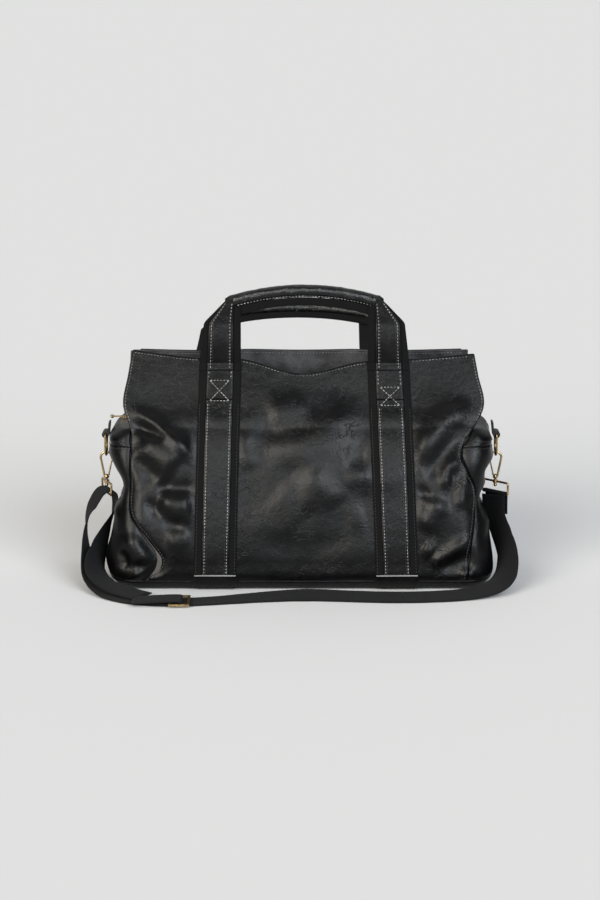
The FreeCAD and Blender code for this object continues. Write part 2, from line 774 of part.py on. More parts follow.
def make_snap_hook(name, side):
    """A pear-shaped snap hook in the XZ plane: back and eye, base ball, swivel pin and its knob."""
    x = side * size("fitting_x")
    wire = size("hook_wire")
    eye = size("hook_eye_radius")
    eye_height = size("hook_top") - eye
    base = size("hook_base")
    neck = size("hook_neck_half")
    outward = side
    top_arc = Part.Arc(Vector(x + outward * eye, 0, eye_height), Vector(x, 0, eye_height + eye),
                       Vector(x - outward * eye, 0, eye_height)).toShape()
    tail_end = Vector(x - outward * (eye - 0.3), 0, eye_height - 2.0)
    back = Part.makeLine(Vector(x + outward * neck, 0, base), Vector(x + outward * eye, 0, eye_height))
    nose = Part.makeLine(Vector(x - outward * eye, 0, eye_height), tail_end)
    frame = round_wire([back, top_arc, nose], wire)
    joint_ball = Part.makeSphere(wire, Vector(x + outward * eye, 0, eye_height))
    nose_ball = Part.makeSphere(wire, Vector(x - outward * eye, 0, eye_height))
    ball = Part.makeSphere(size("hook_base_radius"), Vector(x, 0, base))
    ring_top = size("ring_top")
    boss_half = size("boss_height") / 2
    knob_height = ring_top - boss_half - size("pin_knob_radius") - 0.2
    pin = Part.makeCylinder(size("pin_radius"), base - knob_height, Vector(x, 0, knob_height))
    knob = Part.makeSphere(size("pin_knob_radius"), Vector(x, 0, knob_height))
    solid = frame.multiFuse([joint_ball, nose_ball, ball, pin, knob])
    pivot = Vector(x - outward * (neck + 0.4), 0, base + 2.6)
    slot = Part.makeCylinder(size("gate_wire") + 0.7, 12, pivot - Vector(0, 6, 0), Vector(0, 1, 0))
    upper_slot = box_between((min(pivot.x, pivot.x - outward * 6), -6, pivot.z - 1.0),
                             (max(pivot.x, pivot.x - outward * 6), 6, pivot.z + 6))
    keep_shape(solid.cut(slot.fuse(upper_slot)).removeSplitter(), f"{name}_snap_hook")
    gate_top = tail_end + Vector(outward * 0.2, 0, -wire - 0.5)
    gate = round_wire([Part.makeLine(pivot, gate_top)], size("gate_wire"))
    gate_ball = Part.makeSphere(size("gate_wire"), gate_top - (gate_top - pivot).normalize() * 0.2)
    foot_ball = Part.makeSphere(size("gate_wire") + 0.35, pivot)
    keep_shape(gate.multiFuse([gate_ball, foot_ball]), f"{name}_hook_gate")


def ring_frame(name):
    """The strap ring's own frame: X along its bars, Z up, turned to where the strap pulls it."""
    side = -1 if name == "left" else 1
    turn = Rotation(Vector(0, 0, 1), size(f"{name}_ring_turn"))
    return Placement(Vector(side * size("fitting_x"), 0, size("ring_top")), turn)


def make_strap_ring(name):
    """A rectangular ring with a bored boss on its upper bar for the hook's swivel pin."""
    half = size("ring_half_length")
    drop = 2 * size("ring_half_drop")
    corners = [(-half, 0, 0), (half, 0, 0), (half, 0, -drop), (-half, 0, -drop)]
    frame = round_wire(wire_path(corners, size("ring_corner"), closed=True), size("ring_wire"))
    boss_half = size("boss_height") / 2
    boss = Part.makeCylinder(size("boss_radius"), 2 * boss_half, Vector(0, 0, -boss_half))
    bore = Part.makeCylinder(size("pin_bore"), 4 * boss_half, Vector(0, 0, -2 * boss_half))
    keep_shape(frame.fuse(boss).cut(bore), f"{name}_strap_ring", ring_frame(name))


# ---------------------------------------------------------------- shoulder strap

def strap_sections():
    """Rectangles across the webbing along its route: straight runs with an arc at every point."""
    points = [Vector(*point) for point, _ in STRAP_ROUTE]
    faces = [Vector(*face) for _, face in STRAP_ROUTE]
    last = len(points) - 1
    stations = [(points[0], faces[0], points[1] - points[0])]
    radii = []
    for number in range(1, last):
        before = points[number - 1] - points[number]
        after = points[number + 1] - points[number]
        half = before.getAngle(after) / 2
        shorter = min(before.Length, after.Length)
        turn = math.pi - 2 * half
        radius = 0.45 * shorter / math.tan(turn / 2)
        radii.append(round(radius, 1))
        reach = 0.45 * shorter
        entry = points[number] + before.normalize() * reach
        leave = points[number] + after.normalize() * reach
        bulge = radius / math.cos(turn / 2) - radius
        middle = points[number] + (before + after).normalize() * bulge
        arc = Part.Arc(entry, middle, leave).toShape()
        steps = max(2, int(math.degrees(turn) / 12))
        for step in range(steps + 1):
            place = arc.FirstParameter + (arc.LastParameter - arc.FirstParameter) * step / steps
            share = (step / steps - 0.5) * 0.9
            neighbour = faces[number + 1] if share > 0 else faces[number - 1]
            face = faces[number] * (1 - abs(share)) + neighbour * abs(share)
            stations.append((arc.valueAt(place), face, arc.tangentAt(place)))
    stations.append((points[last], faces[last], points[last] - points[last - 1]))
    print("strap bend radii in mm:", radii)
    return stations


def make_shoulder_strap():
    """The webbing as one flat band, its sections joined by straight-sided skins."""
    half_width = size("strap_width") / 2
    half_thick = size("strap_thickness") / 2
    wires = []
    length = 0.0
    previous = None
    for point, face, tangent in strap_sections():
        tangent = Vector(tangent).normalize()
        across = Vector(face).cross(tangent).normalize()
        normal = tangent.cross(across).normalize()
        corners = [point + across * (half_width * a) + normal * (half_thick * n)
                   for a, n in ((-1, -1), (1, -1), (1, 1), (-1, 1))]
        wires.append(Part.makePolygon(corners + corners[:1]))
        if previous is not None:
            length += (point - previous).Length
        previous = point
    solid = Part.makeLoft(wires, True, True)
    expected = length * size("strap_width") * size("strap_thickness")
    print("strap length", round(length, 1), "volume", round(solid.Volume), "expected", round(expected))
    keep_shape(solid, "shoulder_strap")


def make_strap_fold():
    """The strap's other end: folded over the right ring's lower bar and stitched to itself."""
    bar = -2 * size("ring_half_drop")
    inner = size("ring_wire") + size("fold_clearance")
    outer = inner + size("strap_thickness")
    width = size("strap_width")
    tail = size("fold_tail")
    joint = bar - 0.5
    side = -width / 2
    turn_top = Part.Arc(Vector(side, -outer, bar), Vector(side, 0, bar + outer), Vector(side, outer, bar))
    turn_low = Part.Arc(Vector(side, inner, bar), Vector(side, 0, bar + inner), Vector(side, -inner, bar))
    corners = [Vector(side, outer, bar), Vector(side, outer, bar - tail),
               Vector(side, inner, bar - tail), Vector(side, inner, bar)]
    mouth = [Vector(side, -inner, bar), Vector(side, -inner, joint),
             Vector(side, -outer, joint), Vector(side, -outer, bar)]
    lines = [Part.makeLine(a, b) for a, b in list(zip(corners, corners[1:])) + list(zip(mouth, mouth[1:]))]
    chain = [turn_top.toShape()] + lines[:3] + [turn_low.toShape()] + lines[3:]
    solid = Part.Face(Part.Wire(chain)).extrude(Vector(width, 0, 0))
    keep_shape(solid, "right_strap_fold", ring_frame("right"))


def make_strap_slider():
    """Flat three-bar slider on the strap: a frame with two slots."""
    body, pad = pad_body("strap_slider", "[slider_frame_length]", "[slider_frame_width]",
                         "[slider_frame_height]")
    slot_sketch = body.newObject("Sketcher::SketchObject", "strap_slider_slot_sketch")
    slot_sketch.AttachmentSupport = [(origin_plane(body, "XY_Plane"), "")]
    slot_sketch.MapMode = "FlatFace"
    slot_width = "([slider_frame_length] - 3 * [slider_frame_rail]) / 2"
    add_rectangle(slot_sketch, slot_width, "[slider_slot_width]")
    doc.recompute()
    shift = (size("slider_frame_length") - size("slider_frame_rail")) / 4
    slot_sketch.AttachmentOffset = Placement(Vector(shift, 0, 0), Rotation())
    pocket = body.newObject("PartDesign::Pocket", "strap_slider_slot")
    pocket.Profile = slot_sketch
    pocket.Type = 1
    pocket.Reversed = True
    doc.recompute()
    mirror = body.newObject("PartDesign::Mirrored", "strap_slider_slots")
    mirror.Originals = [pocket]
    mirror.MirrorPlane = (origin_plane(body, "YZ_Plane"), [""])
    body.Tip = mirror
    doc.recompute()
    body.Placement = Placement(
        Vector(size("slider_frame_x"), size("slider_frame_y"), size("slider_frame_bottom")), Rotation())
    full = pad.Shape.Volume
    print("slider slots cut", round(full - body.Shape.Volume, 1), "of", round(full, 1))
    keep(body, "strap_slider")


def make_slider_wrap():
    """The strap's end sewn round the slider's middle bar: a short tongue on top of the slider."""
    top = size("slider_frame_bottom") + size("slider_frame_height") + 0.3
    half = size("strap_width") / 2
    thick = size("wrap_thickness")
    low = size("slider_frame_bottom") + 0.2
    rail_left = size("slider_frame_x") - size("slider_frame_length") / 2
    bar_half = size("slider_frame_rail") / 2
    right = size("slider_frame_x") + bar_half + 0.4 + thick
    end = rail_left - size("wrap_tail")
    outline = [(end, low + 3.2), (end, low + 3.2 + thick), (rail_left - 2, top + thick), (right, top + thick),
               (right, low), (right - thick, low), (right - thick, top), (rail_left - 1.6, top)]
    points = [(x, size("slider_frame_y") - half, z) for x, z in outline]
    keep_shape(prism(points, (0, 2 * half, 0)), "strap_slider_wrap")


# ---------------------------------------------------------------- build and export

def build():
    """Make every sub-part of the bag."""
    fill_sheet()
    bag = bag_loft(0, 0)
    hollow = bag_loft(size("leather_thickness"), size("leather_thickness"), 5)
    make_panels(bag, hollow)
    make_facings()
    make_lining()
    make_base_board()
    make_pocket(bag)
    make_zip()
    make_sewn_straps(bag)
    make_handle("front", -1)
    make_handle("rear", 1)
    for name, side in (("left", -1), ("right", 1)):
        make_tab(name, side)
        make_d_ring(name, side)
        make_snap_hook(name, side)
        make_strap_ring(name)
    make_shoulder_strap()
    make_strap_fold()
    make_strap_slider()
    make_slider_wrap()


def check_and_export():
    """Stop on any failed object or bad shape, then write one STEP file for each sub-part."""
    doc.recompute()
    for obj in doc.Objects:
        if "Invalid" in obj.State or "Error" in obj.State:
            raise RuntimeError(f"{obj.Label}: {obj.State}")
    for node in nodes:
        if node.Shape.isNull() or not node.Shape.isValid():
            raise RuntimeError(f"{node.Label} has no valid shape")
    os.makedirs("parts", exist_ok=True)
    for node in nodes:
        node.Shape.exportStep(f"parts/{node.Label}.step")
    print(len(nodes), "sub-parts written")


build()
check_and_export()
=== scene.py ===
import math

import bpy
import numpy as np
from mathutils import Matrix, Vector, noise


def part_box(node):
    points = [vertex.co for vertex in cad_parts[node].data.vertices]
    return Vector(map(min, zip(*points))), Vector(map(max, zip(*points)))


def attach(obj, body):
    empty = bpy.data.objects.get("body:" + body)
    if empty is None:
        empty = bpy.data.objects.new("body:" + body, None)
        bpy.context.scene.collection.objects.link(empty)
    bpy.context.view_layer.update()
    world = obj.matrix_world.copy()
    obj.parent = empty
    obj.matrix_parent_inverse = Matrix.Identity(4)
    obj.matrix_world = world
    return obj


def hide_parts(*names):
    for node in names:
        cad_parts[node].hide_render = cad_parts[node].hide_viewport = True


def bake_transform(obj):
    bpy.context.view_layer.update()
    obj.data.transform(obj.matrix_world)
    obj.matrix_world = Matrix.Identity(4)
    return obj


# A black leather diaper bag on a pale floor. X runs along the bag, -Y is its front and +Z is up.
# The leather body is drawn as one smooth surface with folds pressed into it, and cut along its seams;
# webbing, leather strips and stitches are laid on that same surface, so they follow its folds.

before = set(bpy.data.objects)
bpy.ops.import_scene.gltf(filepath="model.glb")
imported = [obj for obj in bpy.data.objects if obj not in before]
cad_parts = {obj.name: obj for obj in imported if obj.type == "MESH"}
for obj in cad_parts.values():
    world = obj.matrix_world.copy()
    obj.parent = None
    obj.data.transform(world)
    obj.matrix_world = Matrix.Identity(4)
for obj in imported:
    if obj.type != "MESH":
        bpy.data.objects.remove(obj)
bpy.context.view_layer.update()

# ---------------------------------------------------------------- the bag's shape, in metres

# Cross-sections of the body: height, half length, half depth, corner radius.
SECTIONS = np.array([
    (0.000, 0.216, 0.088, 0.030), (0.010, 0.226, 0.098, 0.034), (0.035, 0.231, 0.102, 0.036),
    (0.072, 0.223, 0.099, 0.034), (0.115, 0.215, 0.091, 0.030), (0.162, 0.228, 0.079, 0.026),
    (0.180, 0.226, 0.072, 0.022), (0.190, 0.214, 0.067, 0.018)])

# Upper edge of each panel: distance from the middle, height.
FRONT_EDGE = np.array([(-0.205, 0.279), (-0.128, 0.270), (-0.070, 0.268), (0.0, 0.252), (0.072, 0.265),
                       (0.128, 0.268), (0.205, 0.274)])
REAR_EDGE = np.array([(-0.205, 0.271), (-0.128, 0.269), (-0.070, 0.269), (0.0, 0.268), (0.072, 0.269),
                      (0.128, 0.269), (0.205, 0.271)])

# Side seams: height, distance from the middle. The lower front corners swing in, pulled by folds.
LEFT_SEAM = np.array([(0.000, 0.190), (0.012, 0.182), (0.034, 0.166), (0.060, 0.180), (0.088, 0.201),
                      (0.130, 0.204), (0.172, 0.202), (0.190, 0.203), (0.214, 0.211), (0.250, 0.206),
                      (0.290, 0.199)])
RIGHT_SEAM = np.array([(0.000, 0.197), (0.012, 0.197), (0.050, 0.201), (0.088, 0.207), (0.122, 0.207),
                       (0.145, 0.196), (0.160, 0.190), (0.176, 0.194), (0.190, 0.205), (0.214, 0.217),
                       (0.250, 0.211), (0.290, 0.204)])
REAR_SEAM = np.array([(0.000, 0.196), (0.012, 0.198), (0.060, 0.202), (0.110, 0.200), (0.160, 0.203),
                      (0.190, 0.205), (0.214, 0.214), (0.250, 0.203), (0.290, 0.188)])

BASE_SEAM = 0.012
YOKE_SEAM = 0.170
RIM_HEIGHT = 0.190
RIM_DEPTH = 0.067
WING_LEAN = 0.47
LEATHER = 0.0019
REAR_CURL = 0.019
LID_EDGE = 0.186

# Straps on the panels: middle at the webbing's top, and how far it spreads by its foot.
INNER_STRAP = (0.096, 0.006)
OUTER_STRAP = (0.104, 0.010)
STRAPS = {"front_left": (-1, -1, INNER_STRAP), "front_right": (-1, 1, OUTER_STRAP),
          "rear_left": (1, -1, OUTER_STRAP), "rear_right": (1, 1, INNER_STRAP)}
STRAP_TOP = 0.262
STRAP_FOOT = 0.005
STRAP_HALF = 0.025
STRIP_HALF = 0.016


def smooth_step(low, high, value):
    """0 below low, 1 above high, and a soft rise between them."""
    share = np.clip((value - low) / (high - low), 0, 1)
    return share * share * (3 - 2 * share)


def read_rows(rows, at):
    """Rows of (place, values...) joined by one smooth curve, read at some places."""
    places = rows[:, 0]
    slopes = np.gradient(rows[:, 1:], places, axis=0)
    at = np.clip(np.asarray(at, float), places[0], places[-1])
    row = np.clip(np.searchsorted(places, at, side="right") - 1, 0, len(places) - 2)
    span = (places[row + 1] - places[row])[..., None]
    t = (at - places[row])[..., None] / span
    start, end = rows[row, 1:], rows[row + 1, 1:]
    return ((2 * t**3 - 3 * t**2 + 1) * start + (t**3 - 2 * t**2 + t) * slopes[row] * span
            + (3 * t**2 - 2 * t**3) * end + (t**3 - t**2) * slopes[row + 1] * span)


def section_at(z):
    """Half length, half depth and corner radius of the body at some heights."""
    return np.moveaxis(read_rows(SECTIONS, z), -1, 0)


def seam_x(side, hand, z):
    """How far a side seam is from the bag's middle."""
    rows = REAR_SEAM if side > 0 else (LEFT_SEAM if hand < 0 else RIGHT_SEAM)
    return read_rows(rows, z)[..., 0]


def edge_height(side, x):
    """Height of a panel's upper edge."""
    return read_rows(FRONT_EDGE if side < 0 else REAR_EDGE, x)[..., 0]


def panel_base(side, x, z):
    """A panel's outer face before any folds."""
    length, depth, corner = section_at(z)
    over = np.clip((np.abs(x) - (length - corner)) / corner, 0, 0.97)
    low = depth - corner * (1 - np.sqrt(1 - over**2))
    wing = RIM_DEPTH - WING_LEAN * (z - RIM_HEIGHT)
    if side > 0:
        away = smooth_step(0.06, 0.10, np.abs(x))
        wing = wing + REAR_CURL * smooth_step(0.228, 0.282, z) * (1 - 0.5 * away)
    share = smooth_step(0.166, 0.214, z)
    return np.stack([x, side * (low * (1 - share) + wing * share), z], -1)


def walk_round(hand, walked, z):
    """The body's outer face, a distance round from the middle of the front towards one hand."""
    length, depth, corner = section_at(z)
    flat = length - corner
    quarter = corner * math.pi / 2
    across = 2 * (depth - corner)
    first = np.clip((walked - flat) / quarter, 0, 1) * math.pi / 2
    second = np.clip((walked - flat - quarter - across) / quarter, 0, 1) * math.pi / 2
    back = np.clip(walked - flat - 2 * quarter - across, 0, None)
    x = np.minimum(walked, flat) + corner * np.sin(first) - corner * (1 - np.cos(second)) - back
    deep = np.clip(walked - flat - quarter, 0, across)
    y = -depth + corner * (1 - np.cos(first)) + deep + corner * np.sin(second)
    return np.stack([hand * x, y, z], -1)


def seam_walk(side, hand, z):
    """The distance round to a side seam."""
    length, depth, corner = section_at(z)
    flat = length - corner
    over = np.clip((seam_x(side, hand, z) - flat) / corner, 0, 0.97)
    near = np.minimum(seam_x(side, hand, z), flat) + corner * np.arcsin(over)
    if side < 0:
        return near
    return 2 * flat + math.pi * corner + 2 * (depth - corner) - near


# ---------------------------------------------------------------- folds

# Each fold: the face it is on, its run, its width and its height, in millimetres. A fold on the front or
# the rear runs through places (x, z), and one on an end through places (y, z).
FOLDS = [
    ("front", [(-203, 214), (-172, 193), (-140, 170), (-128, 150)], 9, 5.0),
    ("front", [(-203, 200), (-178, 186), (-158, 176)], 7, -4.5),
    ("front", [(-192, 178), (-165, 160), (-142, 146)], 23, 7.5),
    ("front", [(-200, 158), (-182, 146), (-168, 128)], 10, -4.0),
    ("front", [(-172, 124), (-146, 121), (-124, 122)], 10, -4.5),
    ("front", [(-170, 108), (-148, 102), (-126, 104)], 21, 6.5),
    ("front", [(-184, 112), (-170, 96), (-152, 80), (-128, 76)], 9, -4.0),
    ("front", [(-160, 60), (-130, 64)], 14, 3.0),
    ("front", [(-42, 205), (-15, 209), (14, 215)], 16, 3.2),
    ("front", [(-60, 184), (-20, 190), (20, 198)], 20, -2.0),
    ("front", [(-40, 152), (0, 172), (36, 190), (72, 218)], 24, 4.0),
    ("front", [(-72, 190), (-68, 165), (-58, 142)], 12, 2.5),
    ("front", [(6, 142), (24, 124), (44, 100)], 17, 3.2),
    ("front", [(-24, 128), (-6, 110), (14, 92)], 26, 2.6),
    ("front", [(50, 136), (84, 134), (126, 135)], 16, 4.0),
    ("front", [(50, 160), (80, 156)], 14, -2.0),
    ("front", [(54, 84), (78, 90)], 18, 1.8),
    ("front", [(-60, 60), (0, 52), (60, 60)], 16, -2.0),
    ("front", [(-10, 126), (34, 136), (74, 140)], 44, 3.5),
    ("front", [(206, 217), (176, 202), (152, 178), (136, 150)], 15, 7.0),
    ("front", [(204, 190), (178, 172), (158, 148), (146, 128)], 11, -4.0),
    ("front", [(186, 160), (172, 140), (170, 120)], 7, 4.0),
    ("front", [(196, 140), (188, 118), (190, 96)], 9, 2.5),
    ("front", [(176, 150), (180, 124), (176, 100)], 8, -2.5),
    ("front", [(166, 112), (154, 92), (141, 72)], 14, 5.5),
    ("front", [(152, 120), (140, 112)], 9, -3.0),
    ("front", [(143, 54), (156, 46)], 9, 3.5),
    ("front", [(150, 30), (172, 44), (204, 66)], 8, 5.0),
    ("front", [(160, 26), (186, 36), (206, 44)], 11, -4.0),
    ("front", [(186, 18), (206, 22)], 8, 4.0),
    ("front", [(-204, 86), (-184, 60), (-168, 40), (-170, 24), (-190, 14)], 7, -4.0),
    ("front", [(-206, 70), (-192, 48), (-184, 32)], 12, 4.5),
    ("front", [(-212, 50), (-206, 26)], 6, -4.0),
    ("front", [(-200, 22), (-186, 20)], 7, 4.0),
    ("left", [(-84, 128), (-30, 116), (40, 122)], 16, -6.0),
    ("left", [(-70, 158), (0, 150), (60, 160)], 10, 3.5),
    ("left", [(-90, 84), (-40, 96), (10, 92), (80, 100)], 9, 4.0),
    ("left", [(-60, 60), (0, 72), (60, 62)], 12, -4.0),
    ("left", [(-90, 40), (-40, 30), (30, 34), (80, 28)], 14, 3.5),
    ("left", [(0, 140), (-6, 90), (2, 30)], 12, -4.0),
    ("right", [(-70, 150), (-20, 156), (50, 152)], 7, 4.0),
    ("right", [(-72, 138), (-30, 134), (40, 138)], 6, -5.0),
    ("right", [(-78, 124), (-30, 120), (50, 126)], 8, 4.0),
    ("right", [(-84, 104), (-20, 98), (60, 104)], 13, -7.0),
    ("right", [(-92, 72), (-30, 82), (70, 74)], 12, 3.5),
    ("right", [(-80, 46), (0, 38), (84, 46)], 12, -3.5),
    ("right", [(4, 140), (0, 90), (-4, 30)], 11, -3.0),
    ("rear", [(-190, 196), (-150, 176), (-128, 150)], 11, 4.5),
    ("rear", [(-186, 168), (-160, 150), (-140, 128)], 9, -4.0),
    ("rear", [(-176, 130), (-150, 110), (-136, 84)], 14, 4.5),
    ("rear", [(-196, 70), (-170, 50), (-140, 46)], 10, -4.0),
    ("rear", [(-60, 196), (0, 186), (60, 200)], 14, -3.0),
    ("rear", [(-50, 160), (10, 150), (60, 164)], 16, 4.0),
    ("rear", [(-60, 110), (-10, 120), (50, 100)], 18, 3.5),
    ("rear", [(-20, 80), (40, 72)], 14, -2.5),
    ("rear", [(200, 206), (166, 190), (140, 160)], 10, 5.0),
    ("rear", [(196, 180), (166, 160), (146, 134)], 8, -4.5),
    ("rear", [(184, 132), (160, 116), (142, 92)], 13, 4.5),
    ("rear", [(196, 60), (170, 44), (140, 42)], 10, -4.0),
]


def fold_points(face, run):
    """A fold's run on the body's plain surface, as points in metres."""
    first = np.array([point[0] for point in run]) / 1000
    z = np.array([point[1] for point in run]) / 1000
    if face in ("front", "rear"):
        return panel_base(-1 if face == "front" else 1, first, z)
    half_length = section_at(z)[0]
    return np.stack([(-1 if face == "left" else 1) * half_length, first, z], -1)


def smooth_noise(points, grain, seed):
    """Soft noise from -1 to 1 at points, whose lumps are about one grain across."""
    flat = points.reshape(-1, 3) / grain + seed * 7.31
    values = [noise.noise(Vector(point)) for point in flat]
    return np.array(values).reshape(points.shape[:-1])


def fold_height(points):
    """How far the leather stands out from its plain surface at points of that surface."""
    height = 0.0034 * smooth_noise(points, 0.095, 1) + 0.0009 * smooth_noise(points, 0.042, 2)
    height += 0.00014 * smooth_noise(points, 0.013, 3)
    for face, run, width, rise in FOLDS:
        stations = fold_points(face, run)
        nearest = np.full(points.shape[:-1], 1.0)
        share = np.zeros(points.shape[:-1])
        steps = len(stations) - 1
        for number in range(steps):
            start, end = stations[number], stations[number + 1]
            along = end - start
            t = np.clip((points - start) @ along / (along @ along), 0, 1)
            gap = np.linalg.norm(points - start - t[..., None] * along, axis=-1)
            closer = gap < nearest
            nearest = np.where(closer, gap, nearest)
            share = np.where(closer, (number + t) / steps, share)
        taper = smooth_step(-0.05, 0.3, share) * smooth_step(-0.05, 0.3, 1 - share)
        reach = width / 1000 * (0.75 + 0.25 * taper)
        height = height + rise / 1000 * taper * np.exp(-(nearest / reach) ** 2)
    return height


def strap_centre(name, z):
    """The middle line of a sewn strap at a height."""
    side, hand, (top_x, splay) = STRAPS[name]
    return hand * (top_x + splay * (STRAP_TOP - z) / (STRAP_TOP - STRAP_FOOT))


def strap_hold(side, x, z):
    """1 where a sewn strap holds the leather flat, 0 away from the straps."""
    hold = np.zeros(np.broadcast(x, z).shape)
    for name, (strap_side, _, _) in STRAPS.items():
        if strap_side == side:
            hold = np.maximum(hold, 1 - smooth_step(0.020, 0.036, np.abs(x - strap_centre(name, z))))
    return hold


def body_height(points, seam_gap):
    """Fold height, drawn down along the seams and calmed near the base and the upper edges."""
    z = points[..., 2]
    calm = smooth_step(0.002, 0.022, z) * (1 - 0.75 * smooth_step(0.222, 0.252, z))
    side = np.where(points[..., 1] < 0, -1, 1)
    hold = np.where(side < 0, strap_hold(-1, points[..., 0], z), strap_hold(1, points[..., 0], z))
    hold = np.where(np.abs(points[..., 0]) < 0.19, hold, 0)
    return fold_height(points) * calm * (1 - 0.55 * hold) - 0.0022 * np.exp(-seam_gap / 0.0045)


def facing_out(normals, side):
    """Unit normals of a panel, turned to its outer side."""
    normals = normals / np.linalg.norm(normals, axis=-1, keepdims=True)
    return normals * np.where(normals[..., 1] * side < 0, -1, 1)[..., None]


def grid_normals(points):
    """Unit normals of a grid of points."""
    normals = np.cross(np.gradient(points, axis=1), np.gradient(points, axis=0))
    return normals / np.maximum(np.linalg.norm(normals, axis=-1, keepdims=True), 1e-12)


def panel_face(side, x, z):
    """A panel's outer face with its folds, and its outward normals, at a grid of places."""
    base = panel_base(side, x, z)
    step = 0.0015
    along_x = panel_base(side, x + step, z) - panel_base(side, x - step, z)
    along_z = panel_base(side, x, z + step) - panel_base(side, x, z - step)
    normals = facing_out(np.cross(along_z, along_x), side)
    hand_gap = np.where(x < 0, seam_x(side, -1, z), seam_x(side, 1, z)) - np.abs(x)
    gap = np.where(z < RIM_HEIGHT, hand_gap, 1.0)
    return base + normals * body_height(base, np.maximum(gap, 0))[..., None]


def on_panel(side, x, z, lift):
    """Points a small distance off a panel's folded face, and the face's normals there."""
    step = 0.002
    here = panel_face(side, x, z)
    along_x = panel_face(side, x + step, z) - panel_face(side, x - step, z)
    along_z = panel_face(side, x, z + step) - panel_face(side, x, z - step)
    normals = facing_out(np.cross(along_z, along_x), side)
    return here + normals * np.asarray(lift)[..., None], normals


# ---------------------------------------------------------------- mesh building


def new_piece(name, points, faces, material, body="root", replaces=(), uv=None, slot=None, smooth=True):
    """A mesh piece of the bag, in its place and riding on its body; body=None leaves it on no body."""
    mesh = bpy.data.meshes.new(name)
    mesh.from_pydata([tuple(point) for point in points], [], [tuple(face) for face in faces])
    mesh.validate()
    if uv is not None:
        layer = mesh.uv_layers.new(name="cloth")
        corners = np.array([loop.vertex_index for loop in mesh.loops])
        layer.data.foreach_set("uv", np.asarray(uv, np.float32)[corners].ravel())
    if smooth:
        mesh.shade_smooth()
    mesh.materials.append(material)
    piece = bpy.data.objects.new(name, mesh)
    bpy.context.scene.collection.objects.link(piece)
    if body is not None:
        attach(piece, body)
    if replaces:
        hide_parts(*replaces)
    return piece


def grid_faces(rows, columns, start=0, round_rows=False, flip=False):
    """Quads of a grid of points; round_rows joins each row's end to its start."""
    faces = []
    for row in range(rows - 1):
        for column in range(columns if round_rows else columns - 1):
            after = (column + 1) % columns
            corner = start + row * columns
            quad = (corner + column, corner + after, corner + columns + after, corner + columns + column)
            faces.append(quad[::-1] if flip else quad)
    return faces


def grid_uv(points):
    """Cloth coordinates in metres: along a grid's rows and up its columns, from its middle."""
    across = np.linalg.norm(np.diff(points, axis=1), axis=-1)
    up = np.linalg.norm(np.diff(points, axis=0), axis=-1)
    u = np.concatenate([np.zeros((len(points), 1)), np.cumsum(across, axis=1)], axis=1)
    v = np.concatenate([np.zeros((1, points.shape[1])), np.cumsum(up, axis=0)], axis=0)
    u = u - u[:, [u.shape[1] // 2]]
    return np.stack([u, v], -1).reshape(-1, 2)


def grid_piece(name, points, material, flip=False, thickness=LEATHER, level=1, **ride):
    """A sheet of cloth or leather from a grid of points on its outer face."""
    rows, columns = points.shape[:2]
    faces = grid_faces(rows, columns, flip=flip)
    piece = new_piece(name, points.reshape(-1, 3), faces, material, uv=grid_uv(points), **ride)
    if thickness:
        solid = piece.modifiers.new("thickness", "SOLIDIFY")
        solid.thickness = thickness
        solid.offset = -1
    if level:
        rounding = piece.modifiers.new("rounding", "SUBSURF")
        rounding.levels = rounding.render_levels = level
    return piece


def band_piece(name, line, across, normals, half, thickness, material, **ride):
    """A flat band along a line: closed, with softly rounded edges. half may change along the line."""
    half = np.broadcast_to(np.asarray(half, float), (len(line),))
    shares = np.array([-1, -0.985, -0.93, -0.6, -0.2, 0.2, 0.6, 0.93, 0.985, 1])
    lift = np.array([0.5, 0.85, 1, 1, 1, 1, 1, 1, 0.85, 0.5])
    profile = [(s, rise * thickness) for s, rise in zip(shares, lift)]
    profile += [(s, (1 - rise) * thickness) for s, rise in reversed(list(zip(shares, lift)))]
    ring = np.array(profile)
    points = (line[:, None] + across[:, None] * (ring[None, :, 0] * half[:, None])[..., None]
              + normals[:, None] * ring[None, :, 1][..., None])
    rows, columns = points.shape[:2]
    faces = grid_faces(rows, columns, round_rows=True, flip=True)
    faces += [tuple(range(columns)), tuple(range(rows * columns - 1, (rows - 1) * columns - 1, -1))]
    length = np.concatenate([[0], np.cumsum(np.linalg.norm(np.diff(line, axis=0), axis=1))])
    u = np.broadcast_to(ring[None, :, 0] * half[:, None], (rows, columns))
    v = np.broadcast_to(length[:, None], (rows, columns))
    uv = np.stack([u, v], -1).reshape(-1, 2)
    return new_piece(name, points.reshape(-1, 3), faces, material, uv=uv, **ride)


def freeze(piece):
    """Apply a piece's modifiers, so that its mesh is final."""
    bpy.context.view_layer.update()
    final = bpy.data.meshes.new_from_object(piece.evaluated_get(bpy.context.evaluated_depsgraph_get()))
    final.name = piece.name
    piece.modifiers.clear()
    piece.data = final
    return piece


# ---------------------------------------------------------------- materials

